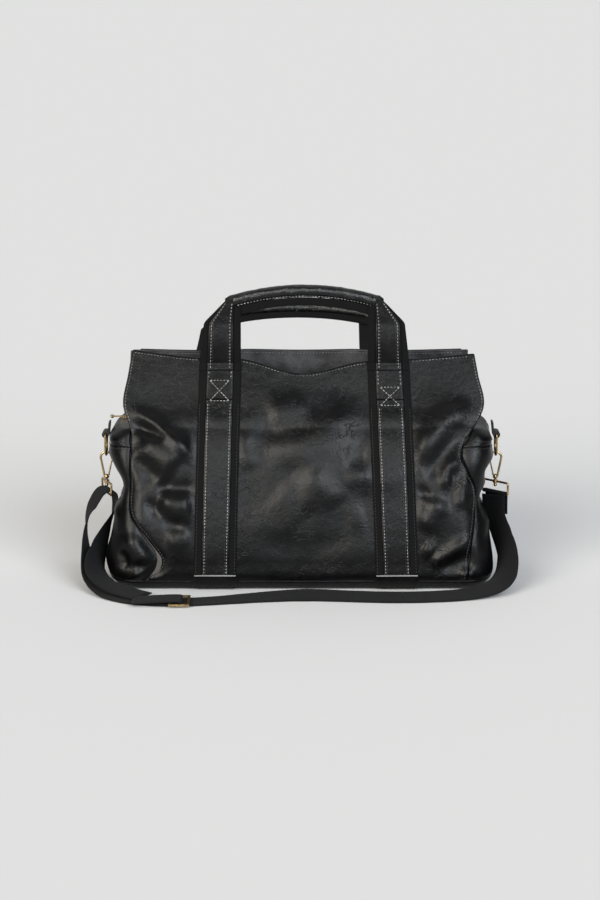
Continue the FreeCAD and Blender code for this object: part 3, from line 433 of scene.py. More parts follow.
class Shader:
    """A node material with a Principled surface, and short calls for the nodes it needs."""

    def __init__(self, name, **values):
        self.material = bpy.data.materials.new(name)
        self.material.use_nodes = True
        self.tree = self.material.node_tree
        self.surface = self.tree.nodes["Principled BSDF"]
        for socket, value in values.items():
            self.surface.inputs[socket.replace("_", " ")].default_value = value

    def node(self, kind, inputs=None, **settings):
        """A node with its settings and inputs; an input is a value or another node's output."""
        node = self.tree.nodes.new(kind)
        for key, value in settings.items():
            setattr(node, key, value)
        for key, value in (inputs or {}).items():
            self.join(node.inputs[key], value)
        return node

    def join(self, socket, value):
        if isinstance(value, bpy.types.NodeSocket):
            self.tree.links.new(value, socket)
        else:
            socket.default_value = value

    def place(self, source="Object"):
        return self.node("ShaderNodeTexCoord").outputs[source]

    def noise(self, place, scale, detail=3.0, roughness=0.55):
        return self.node("ShaderNodeTexNoise", {"Vector": place, "Scale": scale, "Detail": detail,
                                                "Roughness": roughness}).outputs["Fac"]

    def cells(self, place, scale, feature="DISTANCE_TO_EDGE"):
        return self.node("ShaderNodeTexVoronoi", {"Vector": place, "Scale": scale},
                         feature=feature).outputs["Distance"]

    def math(self, operation, first, second=0.0):
        node = self.node("ShaderNodeMath", {0: first, 1: second}, operation=operation)
        return node.outputs[0]

    def span(self, value, low, high, start=0.0, end=1.0):
        """value from low..high mapped to start..end."""
        node = self.node("ShaderNodeMapRange", {"Value": value, "From Min": low, "From Max": high,
                                                "To Min": start, "To Max": end})
        return node.outputs[0]

    def mix(self, share, first, second):
        node = self.node("ShaderNodeMix", {"Factor": share}, data_type="RGBA")
        self.join(node.inputs[6], first)
        self.join(node.inputs[7], second)
        return node.outputs[2]

    def wave(self, place, axis, period, profile="SIN"):
        node = self.node("ShaderNodeTexWave", {"Vector": place, "Scale": 2 * math.pi / period / 20},
                         bands_direction=axis, wave_profile=profile)
        return node.outputs["Fac"]

    def bump(self, heights):
        """Stack bumps: (height, how many metres deep)."""
        normal = None
        for height, depth in heights:
            inputs = {"Height": height, "Distance": depth, "Strength": 1.0}
            if normal is not None:
                inputs["Normal"] = normal
            normal = self.node("ShaderNodeBump", inputs).outputs[0]
        self.tree.links.new(normal, self.surface.inputs["Normal"])

    def set(self, socket, value):
        self.join(self.surface.inputs[socket], value)


def leather(name, deep, dust_and_sheen, rough_low=0.29, rough_high=0.41, crinkle=1.0, shine=0.155):
    """Smooth black leather: fine pores, broken wrinkles, and a little dust in its colour. On the facing both
    colours are painted far lighter, as a painted sheen.
    """
    shader = Shader(name, Specular_IOR_Level=shine)
    place = shader.place()
    warp = shader.node("ShaderNodeTexNoise", {"Vector": place, "Scale": 70.0, "Detail": 2.0}).outputs["Color"]
    bend = {0: warp, 1: (0.012, 0.012, 0.012)}
    bent = shader.node("ShaderNodeVectorMath", bend, operation="MULTIPLY").outputs[0]
    bent = shader.node("ShaderNodeVectorMath", {0: place, 1: bent}, operation="ADD").outputs[0]
    pores = shader.span(shader.cells(place, 620.0), 0.0, 0.35)
    grain = shader.noise(place, 380.0, 4.0, 0.6)
    vein = shader.noise(bent, 48.0, 4.0, 0.55)
    ridge = shader.math("ABSOLUTE", shader.math("SUBTRACT", vein, 0.5))
    patch = shader.span(shader.noise(place, 18.0, 2.0), 0.46, 0.60)
    lines = shader.math("MULTIPLY", shader.span(ridge, 0.0, 0.016, 1.0, 0.0), patch)
    creases = shader.span(shader.noise(bent, 130.0, 5.0, 0.65), 0.35, 0.65)
    mottle = shader.noise(place, 26.0, 5.0, 0.6)
    shader.set("Base Color", shader.mix(shader.span(mottle, 0.38, 0.72), deep, dust_and_sheen))
    rough = shader.span(shader.noise(place, 42.0, 5.0, 0.62), 0.3, 0.7, rough_low, rough_high)
    shader.set("Roughness", shader.math("ADD", rough, shader.math("MULTIPLY", lines, 0.12)))
    shader.bump([(mottle, 0.0006 * crinkle), (creases, 0.00018 * crinkle), (lines, -0.00022 * crinkle),
                 (grain, 0.00007), (pores, 0.00003)])
    return shader.material


def webbing(name, deep, light, pitch, ribs):
    """Woven webbing in cloth coordinates: ribs across its width and diagonal picks between them."""
    shader = Shader(name, Roughness=0.82, Specular_IOR_Level=0.07, Sheen_Weight=0.02, Sheen_Roughness=0.5)
    place = shader.place("UV")
    across = shader.wave(place, "Y", pitch)
    diagonal = shader.wave(place, "DIAGONAL", pitch * 0.9)
    along = shader.wave(place, "X", ribs)
    weave = shader.math("ADD", shader.math("MULTIPLY", across, 0.6), shader.math("MULTIPLY", diagonal, 0.4))
    fuzz = shader.noise(place, 900.0, 3.0)
    wear = shader.noise(place, 30.0, 4.0)
    tone = shader.math("MULTIPLY", shader.span(weave, 0.1, 0.9, 0.35, 1.0),
                       shader.span(wear, 0.3, 0.7, 0.6, 1.0))
    shader.set("Base Color", shader.mix(tone, deep, light))
    shader.bump([(along, 0.00018), (weave, 0.00030), (fuzz, 0.00015)])
    return shader.material


def brass(name, bright, dark, rough):
    """Antique brass: bright and brown in patches that vary at random."""
    shader = Shader(name, Metallic=1.0)
    place = shader.place()
    stain = shader.span(shader.noise(place, 160.0, 5.0, 0.6), 0.36, 0.66)
    shader.set("Base Color", shader.mix(stain, bright, dark))
    shader.set("Roughness", shader.span(shader.noise(place, 420.0, 3.0), 0.3, 0.7, rough, rough + 0.18))
    shader.bump([(shader.noise(place, 700.0, 3.0), 0.00004)])
    return shader.material


def thread(name, colour, dark):
    """Waxed thread with a light twist."""
    shader = Shader(name, Roughness=0.6, Specular_IOR_Level=0.3)
    place = shader.place()
    soil = shader.span(shader.noise(place, 95.0, 3.0), 0.35, 0.65)
    shader.set("Base Color", shader.mix(soil, colour, dark))
    shader.bump([(shader.noise(place, 2600.0, 2.0), 0.00005)])
    return shader.material


def cloth(name, deep, light, pitch):
    """Plain woven lining in object coordinates."""
    shader = Shader(name, Roughness=0.75, Specular_IOR_Level=0.25, Sheen_Weight=0.2)
    place = shader.place()
    warp = shader.wave(place, "X", pitch)
    weft = shader.wave(place, "Z", pitch)
    weave = shader.math("MULTIPLY", warp, weft)
    cloudy = shader.noise(place, 24.0, 4.0)
    tone = shader.math("MULTIPLY", shader.span(weave, 0.0, 1.0, 0.5, 1.0),
                       shader.span(cloudy, 0.3, 0.7, 0.6, 1.0))
    shader.set("Base Color", shader.mix(tone, deep, light))
    shader.bump([(weave, 0.00015), (shader.noise(place, 60.0, 3.0), 0.0008)])
    return shader.material


def grey(level, blue=1.0):
    return (level, level, level * blue, 1.0)


BODY_LEATHER = leather("body_leather", grey(0.0007, 1.12), grey(0.0016, 1.3))
STRIP_LEATHER = leather("strip_leather", grey(0.0009, 1.1), grey(0.0022, 1.2), 0.27, 0.40, 1.0, 0.15)
# The facing is the same black leather with its colours painted many times lighter: a painted sheen that stands
# in for the light its inner face catches.
SHEEN_PAINTED_FACING = leather("facing_with_painted_sheen", grey(0.012, 1.06), grey(0.055, 1.08), 0.38, 0.5, 1.2)
GRIP_LEATHER = leather("grip_leather", grey(0.001, 1.05), grey(0.003, 1.1), 0.20, 0.32, 1.8, 0.32)
EDGE_LEATHER = leather("edge_leather", grey(0.012), grey(0.028), 0.45, 0.6, 0.5)
BLACK_WEBBING = webbing("black_webbing", grey(0.0013), grey(0.0045, 1.05), 0.0016, 0.0030)
STRAP_WEBBING = webbing("strap_webbing", grey(0.0028, 1.05), grey(0.0095, 1.1), 0.0019, 0.0026)
LINING = cloth("lining_cloth", (0.028, 0.026, 0.024, 1.0), (0.065, 0.060, 0.055, 1.0), 0.0011)
BRASS = brass("antique_brass", (0.46, 0.34, 0.17, 1.0), (0.17, 0.115, 0.055, 1.0), 0.26)
ZIP_BRASS = brass("zip_brass", (0.38, 0.28, 0.14, 1.0), (0.12, 0.085, 0.045, 1.0), 0.32)
PALE_THREAD = thread("pale_thread", (0.30, 0.30, 0.29, 1.0), (0.08, 0.08, 0.078, 1.0))
BLACK_THREAD = thread("black_thread", grey(0.020), grey(0.008))
HEM_THREAD = thread("hem_thread", grey(0.15), grey(0.035))
SEAM_THREAD = thread("seam_thread", grey(0.07), grey(0.015))
# A thin pale band along the top edge of the base tabs: a painted highlight on their raw edge, not a paler
# leather.
EDGE_PAINTED_HIGHLIGHT = leather("edge_painted_highlight", grey(0.14), grey(0.22), 0.4, 0.55, 0.4)
RED_THREAD = thread("red_thread", (0.75, 0.12, 0.03, 1.0), (0.45, 0.06, 0.02, 1.0))


# ---------------------------------------------------------------- leather body

def panel_grid(side, columns=141, rows=92):
    """Grid of places over a whole panel, from its base seam to its upper edge."""
    s = np.linspace(-1, 1, columns)[None, :]
    t = np.linspace(0, 1, rows)[:, None]
    z = BASE_SEAM + t * (0.262 - BASE_SEAM) * np.ones_like(s)
    for _ in range(3):
        reach = np.where(s < 0, seam_x(side, -1, z), seam_x(side, 1, z))
        x = s * reach
        z = BASE_SEAM + t * (edge_height(side, x) - BASE_SEAM)
    return x, z


def make_panels():
    for side, name in ((-1, "front_panel"), (1, "rear_panel")):
        x, z = panel_grid(side)
        grid_piece(f"{name}_leather", panel_face(side, x, z), BODY_LEATHER, flip=side > 0,
                   replaces=(name,), slot="black_leather")


def body_face(hand, walked, z, seam_gap):
    """The folded face of the body round its ends, on a grid whose rows are heights."""
    base = walk_round(hand, walked, z)
    step = 0.0015
    along = walk_round(hand, walked + step, z) - walk_round(hand, walked - step, z)
    up = walk_round(hand, walked, z + step) - walk_round(hand, walked, z - step)
    normals = hand * np.cross(along, up)
    normals /= np.linalg.norm(normals, axis=-1, keepdims=True)
    return base + normals * body_height(base, seam_gap)[..., None]


def end_grid(hand, heights, columns):
    """The folded face of one end of the bag between its front and rear seams, at rows of heights."""
    z = np.repeat(heights[:, None], columns, axis=1)
    s = np.linspace(0, 1, columns)[None, :]
    front = seam_walk(-1, hand, z)
    rear = seam_walk(1, hand, z)
    walked = front + (rear - front) * s
    gap = np.minimum(walked - front, rear - walked)
    return body_face(hand, walked, z, gap)


def make_ends():
    for hand, name in ((-1, "left"), (1, "right")):
        heights = np.linspace(BASE_SEAM, YOKE_SEAM, 54)
        dip = 0.0016 * np.exp(-(YOKE_SEAM - heights) / 0.004)
        face = end_grid(hand, heights, 81)
        face[..., 0] -= hand * dip[:, None]
        grid_piece(f"{name}_gusset_leather", face, BODY_LEATHER, flip=hand < 0, replaces=(f"{name}_gusset",),
                   slot="black_leather")
        heights = np.linspace(YOKE_SEAM - 0.001, RIM_HEIGHT - 0.001, 9)
        dip = 0.0012 * np.exp(-(heights - heights[0]) / 0.003)
        side_rows = end_grid(hand, heights, 81)
        side_rows[..., 0] -= hand * dip[:, None]
        rim = side_rows[-1]
        inner_y = np.clip(rim[:, 1], -0.062, 0.062)
        inner_x = np.full(len(rim), hand * LID_EDGE)
        inner = np.stack([inner_x, inner_y, np.full(len(rim), RIM_HEIGHT - 0.0005)], -1)
        lid = []
        for share in np.linspace(0.08, 1, 10):
            row = rim * (1 - share) + inner * share
            row[:, 2] = rim[:, 2] * (1 - share) + inner[:, 2] * share + 0.0016 * math.sin(math.pi * share)
            lid.append(row)
        yoke = np.concatenate([side_rows, np.array(lid)])
        grid_piece(f"{name}_zip_yoke_leather", yoke, BODY_LEATHER, flip=hand < 0,
                   replaces=(f"{name}_zip_yoke",), slot="black_leather")


def ring_rows(heights, inset, columns=200):
    """Closed rings round the whole body at some heights, set in by a distance."""
    rows = []
    for z in heights:
        height = np.array([z])
        length, depth, corner = (value[0] for value in section_at(height))
        total = 2 * (length - corner) + math.pi * corner + 2 * (depth - corner)
        half = np.linspace(0, total, columns // 2, endpoint=False)
        right = walk_round(1, half, np.full(len(half), z))
        left = walk_round(-1, total - half, np.full(len(half), z))
        ring = np.concatenate([right, left])
        shrink = np.array([(length - inset) / length, (depth - inset) / depth, 1.0])
        rows.append(ring * shrink)
    return np.array(rows)


def make_base():
    rows = ring_rows([BASE_SEAM, 0.0085, 0.0055, 0.0028, 0.0012], 0.0)
    push = np.array([0.0, 0.0, 0.0004, 0.001, 0.0])[:, None, None]
    rows = rows * (1 + push * np.array([4, 8, 0]))
    sole = rows[-1] * np.array([0.985, 0.965, 0])
    inner = [sole * np.array([share, share, 0]) for share in (1, 0.97, 0.8, 0.6, 0.4, 0.2, 0.01)]
    points = np.concatenate([rows, np.array(inner)])
    count = points.shape[1]
    faces = grid_faces(len(points), count, round_rows=True, flip=True)
    piece = new_piece("base_panel_leather", points.reshape(-1, 3), faces, BODY_LEATHER,
                      replaces=("base_panel",), slot="black_leather", uv=points[..., :2].reshape(-1, 2))
    solid = piece.modifiers.new("thickness", "SOLIDIFY")
    solid.thickness = 0.0016
    solid.offset = -1


def make_lining():
    """A loose cloth bag inside the leather, and its slip pocket."""
    heights = [0.0075, 0.010, 0.02, 0.04, 0.065, 0.09, 0.115, 0.14, 0.16, 0.172, 0.180]
    rows = ring_rows(heights, 0.0042)
    ripple = smooth_noise(rows, 0.045, 5) * 0.003 - 0.0035
    centre = np.linalg.norm(rows[..., :2], axis=-1, keepdims=True)
    rows[..., :2] += rows[..., :2] / centre * (ripple * smooth_step(0.01, 0.03, rows[..., 2]))[..., None]
    floor = [rows[0] * np.array([share, share, 1]) for share in (0.01, 0.3, 0.6, 0.85, 0.97)]
    points = np.concatenate([np.array(floor), rows])
    faces = grid_faces(len(points), points.shape[1], round_rows=True)
    piece = new_piece("lining_cloth_bag", points.reshape(-1, 3), faces, LINING, replaces=("lining",),
                      slot="lining_fabric")
    solid = piece.modifiers.new("thickness", "SOLIDIFY")
    solid.thickness = 0.0008
    solid.offset = 1
    low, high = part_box("inner_pocket")
    columns, rows = 45, 18
    x = np.linspace(low.x, high.x, columns)[None, :]
    t = np.linspace(0, 1, rows)[:, None]
    z = low.z + 0.002 + t * (high.z - low.z - 0.004)
    lean = (high.y - low.y) * 0.62
    belly = smooth_step(0, 0.05, x - low.x) * smooth_step(0, 0.05, high.x - x)
    y = high.y - 0.004 - lean * t - 0.0065 * belly
    y = y + 0.0012 * np.sin(x * 90) * t
    points = np.stack(np.broadcast_arrays(x, y, z), -1)
    grid_piece("inner_pocket_cloth", points, LINING, thickness=0.001, replaces=("inner_pocket",),
               slot="lining_fabric")


def make_facings():
    """Leather bands sewn inside the panels' upper edges, in black leather whose colour carries a painted
    sheen.
    """
    for side, name in ((-1, "front_top_facing"), (1, "rear_top_facing")):
        x, t = np.meshgrid(np.linspace(-0.2035, 0.2035, 121), np.linspace(0, 1, 16))
        top = edge_height(side, x) - 0.0006
        z = 0.238 + t * (top - 0.238)
        points, _ = on_panel(side, x, z, np.full(x.shape, -LEATHER - 0.0002))
        grid_piece(f"{name}_leather", points, SHEEN_PAINTED_FACING, flip=side > 0, thickness=0.0012,
                   replaces=(name,), slot="black_leather")


make_panels()
make_ends()
make_base()
make_lining()
make_facings()


# ---------------------------------------------------------------- stitches

class Stitches:
    """Thread laid as short rounded stitches, gathered into one mesh."""

    # Along a stitch: place, swell and lift, as shares of its length and radius.
    STATIONS = ((-0.5, 0.35, -0.5), (-0.36, 0.95, 0.05), (0.0, 1.0, 0.25), (0.36, 0.95, 0.05),
                (0.5, 0.35, -0.5))

    def __init__(self):
        self.points = []
        self.faces = []

    def add(self, middle, along, normal, length, radius):
        """One stitch: a small rounded bar that dips into the leather at both ends."""
        side = np.cross(normal, along)
        side /= max(np.linalg.norm(side), 1e-9)
        start = len(self.points)
        for place, swell, lift in self.STATIONS:
            centre = middle + along * place * length + normal * lift * radius
            for turn in range(6):
                angle = turn * math.pi / 3
                offset = side * math.cos(angle) + normal * math.sin(angle)
                self.points.append(centre + offset * swell * radius)
        for ring in range(4):
            for turn in range(6):
                low = start + ring * 6 + turn
                high = start + ring * 6 + (turn + 1) % 6
                self.faces.append((low, high, high + 6, low + 6))
        self.faces.append(tuple(start + turn for turn in reversed(range(6))))
        self.faces.append(tuple(start + 24 + turn for turn in range(6)))

    def row(self, points, normals, pitch=0.0038, length=0.0023, radius=0.00042):
        """Evenly spaced stitches along a line of points on a surface."""
        points = np.asarray(points, float)
        steps = np.linalg.norm(np.diff(points, axis=0), axis=1)
        travel = np.concatenate([[0], np.cumsum(steps)])
        count = max(2, int(travel[-1] / pitch))
        places = (np.arange(count) + 0.5) * travel[-1] / count
        spread = [np.interp(places, travel, points[:, axis]) for axis in range(3)]
        facing = [np.interp(places, travel, normals[:, axis]) for axis in range(3)]
        middle, normal = np.stack(spread, -1), np.stack(facing, -1)
        ahead = np.stack([np.interp(places + pitch / 3, travel, points[:, axis]) for axis in range(3)], -1)
        behind = np.stack([np.interp(places - pitch / 3, travel, points[:, axis]) for axis in range(3)], -1)
        for at, before, after, up in zip(middle, behind, ahead, normal):
            run = after - before
            run /= max(np.linalg.norm(run), 1e-9)
            self.add(at, run, up / np.linalg.norm(up), length, radius)

    def piece(self, name, material, body="root"):
        return new_piece(name, self.points, self.faces, material, body=body)


def panel_stitches(thread_rows, side, x, z, lift, **look):
    """A row of stitches on a panel's folded face."""
    x, z = np.broadcast_arrays(np.asarray(x, float), np.asarray(z, float))
    points, normals = on_panel(side, x, z, np.full(x.shape, lift))
    thread_rows.row(points, normals, **look)


# ---------------------------------------------------------------- webbing sewn to the panels

WEB = 0.0017
STRIP = 0.0014
WEB_GAP = 0.0005
WEB_FACE = WEB_GAP + WEB
STRIP_FACE = WEB_FACE + STRIP
PATCH_TOP = 0.020
BOX_LOW = 0.221
BOX_HIGH = 0.257
EDGE_STITCH = 0.0028

# Lower and upper row of the crossed stitches, seen from outside: on the left strap and on the right one.
CROSS_STITCHES = {-1: (0.2195, 0.2425), 1: (0.2145, 0.2350)}


def laid_band(name, strap, low, high, half, lift, thickness, material, steps=70, **ride):
    """A band over a strap's middle line that follows the panel right across its width."""
    side = STRAPS[strap][0]
    z = np.linspace(low, high, steps)
    shares = np.array([-1, -0.96, -0.8, -0.5, -0.2, 0.2, 0.5, 0.8, 0.96, 1.0])
    swell = np.array([0.55, 0.9, 1, 1, 1, 1, 1, 1, 0.9, 0.55])
    x = strap_centre(strap, z)[:, None] + half * shares[None, :]
    height = np.broadcast_to(z[:, None], x.shape)
    top, _ = on_panel(side, x, height, lift + thickness * np.broadcast_to(swell, x.shape))
    under, _ = on_panel(side, x, height, np.full(x.shape, lift))
    points = np.concatenate([top, under[:, ::-1]], axis=1)
    rows, columns = points.shape[:2]
    faces = grid_faces(rows, columns, round_rows=True, flip=side > 0)
    ends = [tuple(range(columns)), tuple(range(rows * columns - 1, (rows - 1) * columns - 1, -1))]
    faces += ends if side < 0 else [end[::-1] for end in ends]
    u = np.concatenate([half * shares, half * shares[::-1]])[None, :] + np.zeros((rows, 1))
    v = z[:, None] + np.zeros((1, columns))
    uv = np.stack([u, v], -1).reshape(-1, 2)
    return new_piece(name, points.reshape(-1, 3), faces, material, uv=uv, **ride)


def make_sewn_straps():
    contrast = Stitches()
    plain = Stitches()
    for name, (side, hand, _) in STRAPS.items():
        laid_band(f"{name}_strap_webbing", name, STRAP_FOOT, STRAP_TOP, STRAP_HALF, WEB_GAP, WEB,
                  BLACK_WEBBING, steps=110, replaces=(f"{name}_strap",), slot="handle_webbing")
        laid_band(f"{name}_strap_strip", name, PATCH_TOP + 0.0003, BOX_LOW - 0.0002, STRIP_HALF, WEB_FACE,
                  STRIP, STRIP_LEATHER, steps=110, replaces=(f"{name}_strap_leather",), slot="black_leather")
        laid_band(f"{name}_stitched_box", name, BOX_LOW, BOX_HIGH, STRIP_HALF, WEB_FACE, STRIP, STRIP_LEATHER,
                  steps=30, replaces=(f"{name}_stitched_end",), slot="black_leather")
        laid_band(f"{name}_base_tab", name, STRAP_FOOT, PATCH_TOP, STRAP_HALF + 0.0006, WEB_FACE, 0.0012,
                  STRIP_LEATHER, steps=14, replaces=(f"{name}_base_patch",), slot="black_leather")
        z = np.linspace(PATCH_TOP + 0.002, CROSS_STITCHES[hand * -side][0] - 0.003, 130)
        above = np.linspace(CROSS_STITCHES[hand * -side][1] + 0.002, 0.2535, 12)
        for edge in (-1, 1):
            x = strap_centre(name, above) + edge * (STRIP_HALF - EDGE_STITCH)
            panel_stitches(contrast, side, x, above, STRIP_FACE)
            x = strap_centre(name, z) + edge * (STRIP_HALF - EDGE_STITCH)
            panel_stitches(contrast, side, x, z, STRIP_FACE)
            x = strap_centre(name, z) + edge * (STRIP_HALF - EDGE_STITCH - 0.0022)
            panel_stitches(plain, side, x, z, STRIP_FACE)
            x = strap_centre(name, z) + edge * (STRAP_HALF - 0.0022)
            panel_stitches(plain, side, x, z, WEB_FACE)
        box_x = STRIP_HALF - 0.0045
        low, high = CROSS_STITCHES[hand * -side]
        share = np.linspace(-1, 1, 24)
        middle = strap_centre(name, (low + high) / 2)
        rise = (low + high) / 2 + share * (high - low) / 2
        for slant in (-1, 1):
            panel_stitches(contrast, side, middle + slant * share * box_x, rise, STRIP_FACE, length=0.0030)
        for height in (low, high):
            panel_stitches(contrast, side, middle + share * box_x, height + 0 * share, STRIP_FACE)
        # A pale band along each tab's top edge: a painted highlight on its raw edge.
        z_rim = np.full(30, PATCH_TOP + 0.0002)
        x_rim = strap_centre(name, z_rim) + np.linspace(-1, 1, 30) * (STRAP_HALF - 0.0005)
        rim, normals = on_panel(side, x_rim, z_rim, np.full(30, WEB_FACE + 0.0010))
        up = np.tile([0.0, 0.0, 1.0], (30, 1))
        band_piece(f"{name}_base_tab_painted_highlight", rim, up, normals, 0.0006, 0.0007, EDGE_PAINTED_HIGHLIGHT)
    contrast.piece("strap_contrast_stitches", PALE_THREAD)
    plain.piece("strap_plain_stitches", BLACK_THREAD)


def make_panel_stitches():
    """Hem, seam and facing stitches of the leather body."""
    rows = Stitches()
    grey_rows = Stitches()
    seams = Stitches()
    for side in (-1, 1):
        x = np.linspace(-0.199, 0.199, 220)
        for drop in (0.0035, 0.0145):
            keep = np.ones(len(x), bool)
            for name, (strap_side, _, _) in STRAPS.items():
                if strap_side == side:
                    keep &= np.abs(x - strap_centre(name, STRAP_TOP)) > STRAP_HALF + 0.001
            for run in np.split(np.arange(len(x)), np.where(~keep)[0]):
                run = run[keep[run]]
                if len(run) > 4:
                    target = grey_rows if drop < 0.01 else rows
                    panel_stitches(target, side, x[run], edge_height(side, x[run]) - drop, 0.0001)
        for hand in (-1, 1):
            z = np.linspace(0.198, edge_height(side, hand * 0.2) - 0.005, 60)
            for inset in (0.0030, 0.0140):
                target = grey_rows if inset < 0.01 else rows
                panel_stitches(target, side, hand * (seam_x(side, hand, z) - inset), z, 0.0001)
            z = np.linspace(0.016, 0.190, 150)
            panel_stitches(seams, side, hand * (seam_x(side, hand, z) - 0.0042), z, 0.0002)
        x = np.linspace(-0.196, 0.196, 200)
        z = edge_height(side, x) - 0.0042
        points, normals = on_panel(side, x, z, np.full(len(x), -LEATHER - 0.0016))
        grey_rows.row(points, -normals)
    for hand in (-1, 1):
        for height in (YOKE_SEAM - 0.0035, YOKE_SEAM + 0.0045):
            heights = np.array([height - 0.001, height, height + 0.001])
            face = end_grid(hand, heights, 120)
            normals = grid_normals(face)
            normals *= np.where(normals[..., :1] * hand < 0, -1, 1)
            rows.row(face[1, 3:-3] + normals[1, 3:-3] * 0.0002, normals[1, 3:-3])
    rows.piece("body_dark_stitches", BLACK_THREAD)
    grey_rows.piece("body_hem_stitches", HEM_THREAD)
    seams.piece("body_seam_stitches", SEAM_THREAD)


# ---------------------------------------------------------------- carry handles

FOLD_HEIGHT = 0.264
FOLD_Y = 0.0372
REAR_LEAN = math.radians(59)
KNEE = 0.047
HAND_HEIGHT = 0.072
GRIP_RADIUS = 0.0075
GRIP_END = 0.088
GRIP_RISE = 0.0135
HANDLE_MIDDLE = 0.004


def handle_frame(side):
    """Origin, right, out of the bag, and up for a handle whose origin is on its fold."""
    origin = np.array([0, side * FOLD_Y, FOLD_HEIGHT])
    if side < 0:
        return origin, np.array([1.0, 0, 0]), np.array([0, -1.0, 0]), np.array([0, 0, 1.0])
    up = np.array([0, math.sin(REAR_LEAN), math.cos(REAR_LEAN)])
    out = np.array([0, math.cos(REAR_LEAN), -math.sin(REAR_LEAN)])
    return origin, np.array([-1.0, 0, 0]), out, up


def leg_sheet(side, centre, away, half, knee_half, top_half, lift, top, steps=34):
    """Points of one handle leg: up the panel, over the fold and along its slanted outer edge."""
    origin, right, out, up = handle_frame(side)
    strap_name = f"{'front' if side < 0 else 'rear'}_{'left' if right[0] * centre < 0 else 'right'}"
    low = np.linspace(0.2535, 0.2612, 6)
    s = np.linspace(-1, 1, 11)[None, :]
    swell = np.array([0.4, 0.9, 1, 1, 1, 1, 1, 1, 1, 0.9, 0.4])[None, :]
    x_panel = strap_centre(strap_name, low)[:, None] - right[0] * away * s * half
    z_panel = np.broadcast_to(low[:, None], x_panel.shape)
    sewn, _ = on_panel(side, x_panel, z_panel, lift + 0.0008 * swell + 0 * x_panel)
    height = np.linspace(0.0035, top, steps)[:, None]
    outer = np.interp(height, [0, KNEE, KNEE + 0.004, top], [half, knee_half, knee_half - 0.003, top_half])
    x_outer = centre + away * outer
    x_inner = centre - away * half
    x = x_outer + (x_inner - x_outer) * (s + 1) / 2
    rise = np.clip(height / KNEE, 0, 1)
    wave = 0.0020 * np.sin(math.pi * rise) + 0.0004 * np.sin(x * 300)
    bulge = lift - 0.0030 + 0.0008 * swell + wave
    free = origin + x[..., None] * right + (height + 0 * x)[..., None] * up + bulge[..., None] * out
    return np.concatenate([sewn, free])


def make_handle(name, side):
    origin, right, out, up = handle_frame(side)
    body = f"{name}_handle"
    dark = Stitches()
    pale = Stitches()
    left, rightward = (-0.096, 0.104)
    for centre, away, tag in ((left, -1, "near"), (rightward, 1, "far")):
        web = leg_sheet(side, centre, away, STRAP_HALF, 0.0195, -0.006, 0.0032, 0.0740)
        strip = leg_sheet(side, centre, away, STRIP_HALF, 0.0140, -0.0105, 0.0056, 0.0785)
        for points, label, material, thickness, slot in (
                (web, "webbing", BLACK_WEBBING, 0.0016, "handle_webbing"),
                (strip, "leather", STRIP_LEATHER, 0.0014, "black_leather")):
            middle_normal = grid_normals(points)[20, 5]
            piece = grid_piece(f"{name}_handle_{tag}_{label}", points, material,
                               flip=bool(middle_normal @ out < 0), thickness=thickness, body=None, slot=slot)
            freeze(piece)
            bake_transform(piece)
        steps = slice(1, -3)
        normals = grid_normals(strip)
        normals *= np.where((normals @ out)[..., None] < 0, -1, 1)
        for column in (1, -2):
            line = strip[steps, column] + normals[steps, column] * 0.0002
            inward = (strip[steps, 5] - strip[steps, column]) * 0.10
            pale.row(line + inward, normals[steps, column])
            dark.row(line + inward * 2.6, normals[steps, column])
    band_low = HAND_HEIGHT - GRIP_RADIUS - 0.0008
    x = np.linspace(-0.098, 0.098, 70)
    arch = GRIP_RISE * (1 - (x / GRIP_END) ** 2)
    rise = np.where(np.abs(x) <= GRIP_END, arch, arch * 0.6)
    line = (origin + (HANDLE_MIDDLE + x)[:, None] * right + (band_low - 0.0042 + rise)[:, None] * up
            - 0.0038 * out)
    run = np.gradient(line, axis=0)
    run /= np.linalg.norm(run, axis=1, keepdims=True)
    facing = np.tile(out, (len(line), 1))
    across = np.cross(facing, run)
    half = 0.0048 + 0.0022 * (np.abs(x) / 0.098) ** 3
    band_piece(f"{name}_handle_band", line, across, facing, half, 0.0024, BLACK_WEBBING, body=body,
               slot="handle_webbing")
    grip = grip_points(origin, right, out, up)
    faces = grid_faces(*grip.shape[:2], round_rows=True)
    columns = grip.shape[1]
    count = grip.shape[0]
    faces += [tuple(range(columns))[::-1], tuple(range((count - 1) * columns, count * columns))]
    piece = new_piece(f"{name}_handle_grip_leather", grip.reshape(-1, 3), faces, GRIP_LEATHER, body=body,
                      slot="black_leather")
    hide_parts(f"{name}_handle_grip", f"{name}_handle_core")
    seam_places = np.linspace(-0.080, 0.080, 100)
    seam_rise = HAND_HEIGHT + GRIP_RISE * (1 - (seam_places / GRIP_END) ** 2) - 0.0058
    seam = (origin + (HANDLE_MIDDLE + seam_places)[:, None] * right + seam_rise[:, None] * up + 0.0012 * out)
    pale.row(seam, np.tile(out * 0.8 - up * 0.6, (len(seam), 1)))
    for rows, label, material in ((pale, "pale", PALE_THREAD), (dark, "dark", BLACK_THREAD)):
        piece = rows.piece(f"{name}_handle_{label}_stitches", material, None)
        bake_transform(piece)
    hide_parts(f"{name}_handle_webbing")
    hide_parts(f"{name}_handle_leather")


